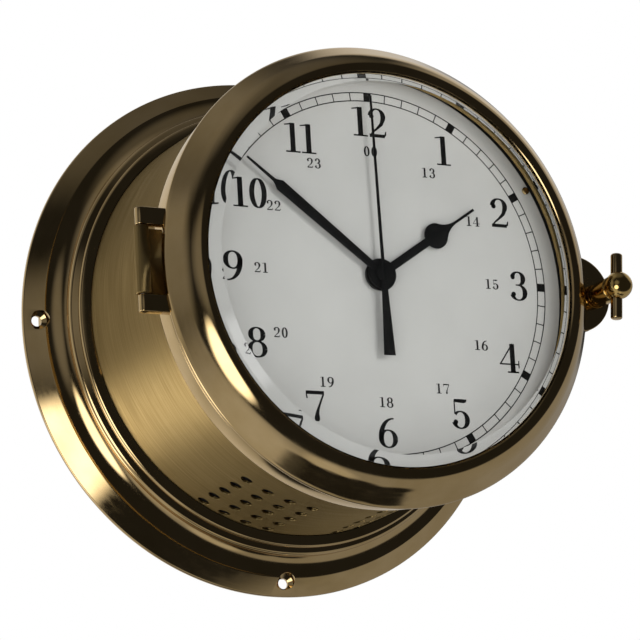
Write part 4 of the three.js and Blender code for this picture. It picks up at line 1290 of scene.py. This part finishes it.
@dataclass
class Latch:
    """Barrel screw with a ball end and a loose cross bar, over a washer on the bezel's ear."""

    thread_tip: float = 72.3
    thread_radius: float = 2.2
    thread_point: float = 0.6
    thread_end: float = 76.5
    neck_radius: float = 1.6
    barrel_base: float = 86.3
    barrel_radius: float = 4.1
    barrel_length: float = 8.6
    base_edge: float = 0.3
    top_edge: float = 0.45
    ball_neck: float = 3.7
    ball_radius: float = 4.6
    ball_height: float = 98.3
    segments: int = 96
    bar_height: float = 96.9
    bar_turn: float = -3.9
    bar_radius: float = 1.95
    bar_length: float = 22.4
    bar_round: float = 0.7
    bar_gap: float = 0.3
    washer_back: float = 85.4
    washer_front: float = 86.0
    washer_radius: float = 3.6
    washer_bore: float = 1.9
    washer_edge: float = 0.2

    def at_screw(self, mesh: Mesh) -> Mesh:
        """Move a piece of the latch from the clock's axis to its own."""
        return rotated(shifted(mesh, SCREW_REACH), LATCH_ANGLE, "Z")

    def across(self, mesh: Mesh) -> Mesh:
        """Lay a rod through the ball, where the cross bar goes."""
        return shifted(rotated(rotated(mesh, 90, "X"), self.bar_turn, "Z"), z=self.bar_height)

    def screw(self) -> Mesh:
        """Turn the screw, its barrel and ball, and drill it for the bar."""
        point, top = self.thread_point, self.barrel_base + self.barrel_length
        lean = math.degrees(math.asin(self.ball_neck / self.ball_radius))
        section = Section().to(0, self.thread_tip).to(self.thread_radius - point, self.thread_tip)
        section.to(self.thread_radius, self.thread_tip + point).to(self.thread_radius, self.thread_end)
        section.to(self.neck_radius, self.thread_end).to(self.neck_radius, self.barrel_base)
        section.corner(self.barrel_radius, self.barrel_base, self.base_edge, top=False)
        section.corner(self.barrel_radius, top, self.top_edge, steps=CORNER_STEPS + 1).to(self.ball_neck, top)
        section.arc((0, self.ball_height), (self.ball_radius,) * 2, lean - 90, 90, 2 * ARC_STEPS)
        reach = self.ball_radius + OVERRUN
        hole = self.across(rod(self.bar_radius + self.bar_gap, -reach, reach))
        return self.at_screw(carved(section.turned(self.segments, closed=False), hole))

    def bar(self) -> Mesh:
        """Turn the cross bar."""
        half = self.bar_length / 2
        return self.at_screw(self.across(rod(self.bar_radius, -half, half, self.bar_round)))

    def washer(self) -> Mesh:
        """Turn the washer with rounded edges."""
        section = Section().corner(self.washer_radius, self.washer_back, self.washer_edge, top=False, steps=3)
        section.corner(self.washer_radius, self.washer_front, self.washer_edge, steps=3)
        section.to(self.washer_bore, self.washer_front).to(self.washer_bore, self.washer_back)
        return self.at_screw(section.turned(SMALL_SEGMENTS))

    def build(self, shop: Workshop) -> None:
        """Make and dress the latch."""
        shop.piece("barrel_screw", self.screw(), Surface.GOLD_BRASS, Body.LATCH_SCREW, ["latch_screw"])
        shop.piece("tommy_bar", self.bar(), Surface.POLISHED_BRASS, Body.LATCH_SCREW, ["latch_cross_bar"])
        shop.piece("ear_washer", self.washer(), Surface.GOLD_BRASS, Body.LATCH_SLIDER, ["latch_washer"])


class Inside:
    """What the clock holds inside, kept from the CAD and dressed."""

    KEPT = {
        Surface.BLACK_PLASTIC: (
            "dial_seat_ring", "movement_front_shell", "movement_rear_cover", "setting_knob",
        ),
        Surface.POLISHED_BRASS: ("dial_screw_1", "dial_screw_2", "dial_screw_3"),
        Surface.STEEL: ("contact_minus", "contact_plus", "second_arbor"),
        Surface.BLACK_STEEL: ("speaker_bracket", "speaker_frame"),
        Surface.SATIN_BRASS: ("hour_tube", "minute_arbor"),
        Surface.RUBBER: ("rubber_washer",),
        Surface.SPEAKER_PAPER: ("speaker_cone",),
        Surface.FERRITE: ("speaker_magnet",),
        Surface.CELL_WRAP: ("battery_cell",),
    }

    def build(self, shop: Workshop) -> None:
        """Dress the inner pieces."""
        for surface, nodes in self.KEPT.items():
            for node in nodes:
                shop.dress_node(node, surface)


# Camera, floor and light


@dataclass(frozen=True)
class Glow:
    """A soft round patch of light in the room: all of it inside one angle, none of it outside another.

    Its azimuth is in degrees from straight in front of the dial to the right, its elevation above level.
    A strength below zero shades the others.
    """

    azimuth: float
    elevation: float
    inner: float
    outer: float
    strength: float

    def light(self, tree: Tree, direction: Socket) -> Socket:
        """Give the light that comes from a direction.

        Args:
            tree: the world's node tree.
            direction: the direction in which a ray leaves.

        Returns:
            The patch's strength there.
        """
        turn, lift = math.radians(self.azimuth), math.radians(self.elevation)
        centre = (math.sin(turn) * math.cos(lift), -math.cos(turn) * math.cos(lift), math.sin(lift))
        near = add_node(tree, "ShaderNodeVectorMath", {0: direction, 1: centre}, operation="DOT_PRODUCT")
        node = add_node(tree, "ShaderNodeMapRange", {
            "Value": near.outputs["Value"], "From Min": math.cos(math.radians(self.outer)),
            "From Max": math.cos(math.radians(self.inner)), "To Min": 0.0, "To Max": self.strength,
        }, interpolation_type="SMOOTHSTEP")
        return node.outputs["Result"]


@dataclass(frozen=True)
class Softbox:
    """A square softbox that looks at the clock and that no reflection shows, in metres and watts."""

    towards: tuple[float, float, float]
    distance: float
    size: float
    power: float

    def hang(self, name: str) -> None:
        """Hang the softbox under a name."""
        data = bpy.data.lights.new(name, "AREA")
        data.shape = "SQUARE"
        data.size = self.size
        data.energy = self.power
        lamp = placed(name, data)
        lamp.location = Vector(self.towards).normalized() * self.distance
        lamp.rotation_euler = (-lamp.location).to_track_quat("-Z", "Y").to_euler()
        lamp.visible_camera = lamp.visible_glossy = lamp.visible_transmission = False


@dataclass
class Studio:
    """The photograph's camera, a pale floor and soft light."""

    camera_place: tuple[float, float, float] = (-0.58281956, -1.16566038, -0.32272682)
    camera_turn: tuple[float, float, float] = (104.15498313, 3.28730674, -26.57775372)
    lens: float = 220.9386
    sensor: float = 36.0
    farthest: float = 50.0
    floor_height: float = -0.45
    floor_size: float = 8.0
    floor_colour: str = "e6e6e4"
    floor_roughness: float = 0.9
    dimmest: float = 0.02

    BOXES = {
        "fill_box": Softbox(towards=(0.2, -0.95, 0.1), distance=1.6, size=0.6, power=8.0),
        "left_box": Softbox(towards=(-0.75, -0.65, -0.1), distance=1.6, size=1.0, power=7.0),
        "floor_box": Softbox(towards=(0.0, 0.2, 1.0), distance=3.0, size=5.0, power=150.0),
    }
    ROOM = {
        "window": Glow(azimuth=-53, elevation=-25, inner=11, outer=19, strength=3.2),
        "far_window": Glow(azimuth=-122, elevation=-29, inner=9, outer=20, strength=2.4),
        "pane_above": Glow(azimuth=-45, elevation=12, inner=6, outer=24, strength=0.2),
        "left_wall": Glow(azimuth=-100, elevation=10, inner=12, outer=34, strength=0.22),
        "left_floor": Glow(azimuth=-105, elevation=-55, inner=14, outer=36, strength=0.2),
        "left_ceiling": Glow(azimuth=-118, elevation=50, inner=16, outer=42, strength=0.13),
        "ceiling": Glow(azimuth=-60, elevation=85, inner=12, outer=40, strength=0.09),
        "paper": Glow(azimuth=180, elevation=-26.6, inner=86, outer=92, strength=0.3),
        "backdrop": Glow(azimuth=-175, elevation=5, inner=22, outer=48, strength=0.45),
        "backdrop_right": Glow(azimuth=140, elevation=34, inner=8, outer=26, strength=0.4),
        "right_shelf": Glow(azimuth=95, elevation=36, inner=10, outer=28, strength=0.35),
        "front_floor": Glow(azimuth=-5, elevation=-76, inner=6, outer=13, strength=0.25),
        "shade_right": Glow(azimuth=100, elevation=-66, inner=4, outer=9, strength=-0.4),
        "shade_under": Glow(azimuth=90, elevation=-79, inner=5, outer=10, strength=-0.4),
        "shade_nadir": Glow(azimuth=0, elevation=-89, inner=5, outer=9, strength=-0.4),
        "shade_behind": Glow(azimuth=172, elevation=-49, inner=14, outer=20, strength=-0.7),
        "shade_left": Glow(azimuth=-90, elevation=-79, inner=5, outer=10, strength=-0.4),
        "shade_past_rim": Glow(azimuth=150, elevation=14, inner=8, outer=20, strength=-0.5),
    }

    def camera(self) -> None:
        """Set up the camera where the photograph was taken from."""
        data = bpy.data.cameras.new("camera")
        data.lens = self.lens
        data.sensor_width = self.sensor
        data.clip_end = self.farthest
        camera = placed("camera", data)
        camera.location = self.camera_place
        camera.rotation_euler = Euler([math.radians(a) for a in self.camera_turn], "XYZ")
        bpy.context.scene.camera = camera

    def floor(self) -> None:
        """Lay a plain pale floor."""
        mesh = bmesh.new()
        bmesh.ops.create_grid(mesh, x_segments=1, y_segments=1, size=self.floor_size / 2)
        floor = shaped("floor", shifted(mesh, z=self.floor_height))
        material = bpy.data.materials.new("paper_pale_seamless")
        material.use_nodes = True
        shader = material.node_tree.nodes["Principled BSDF"]
        shader.inputs["Base Color"].default_value = linear(self.floor_colour)
        shader.inputs["Roughness"].default_value = self.floor_roughness
        floor.data.materials.append(material)
        floor.visible_glossy = False

    def surroundings(self) -> None:
        """Give the room: white for the camera, pale behind the clock and dim in front of it."""
        world = bpy.data.worlds.new("studio")
        bpy.context.scene.world = world
        world.use_nodes = True
        tree = world.node_tree
        tree.nodes.clear()
        direction = add_node(tree, "ShaderNodeTexCoord").outputs["Generated"]
        light = add_node(tree, "ShaderNodeValue").outputs[0]
        light.default_value = self.dimmest
        for glow in self.ROOM.values():
            light = add_node(tree, "ShaderNodeMath", {0: light, 1: glow.light(tree, direction)}).outputs[0]
        light = add_node(tree, "ShaderNodeMath", {0: light, 1: self.dimmest}, operation="MAXIMUM").outputs[0]
        room = add_node(tree, "ShaderNodeBackground", {"Color": (1, 1, 1, 1), "Strength": light})
        white = add_node(tree, "ShaderNodeBackground", {"Color": (1, 1, 1, 1), "Strength": 1.0})
        ray = add_node(tree, "ShaderNodeLightPath").outputs["Is Camera Ray"]
        mix = add_node(tree, "ShaderNodeMixShader", {0: ray, 1: room.outputs[0], 2: white.outputs[0]})
        add_node(tree, "ShaderNodeOutputWorld", {"Surface": mix.outputs[0]})

    def build(self) -> None:
        """Set up the studio."""
        bpy.context.scene.view_settings.view_transform = "Standard"
        self.camera()
        self.floor()
        self.surroundings()
        for name, box in self.BOXES.items():
            box.hang(name)


def main() -> None:
    """Build the studio and every sub-assembly in order."""
    logging.basicConfig(level=logging.INFO, format="%(message)s")
    Studio().build()
    shop = Workshop()
    for assembly in (WallFlange, Drum, FrontRing, Bezel, Crystal, Dial, Hands, Latch, Inside):
        assembly().build(shop)
        log.info("%s done", assembly.__name__)
    log.info("%d pieces made", shop.count)


if __name__ == "__main__":
    main()
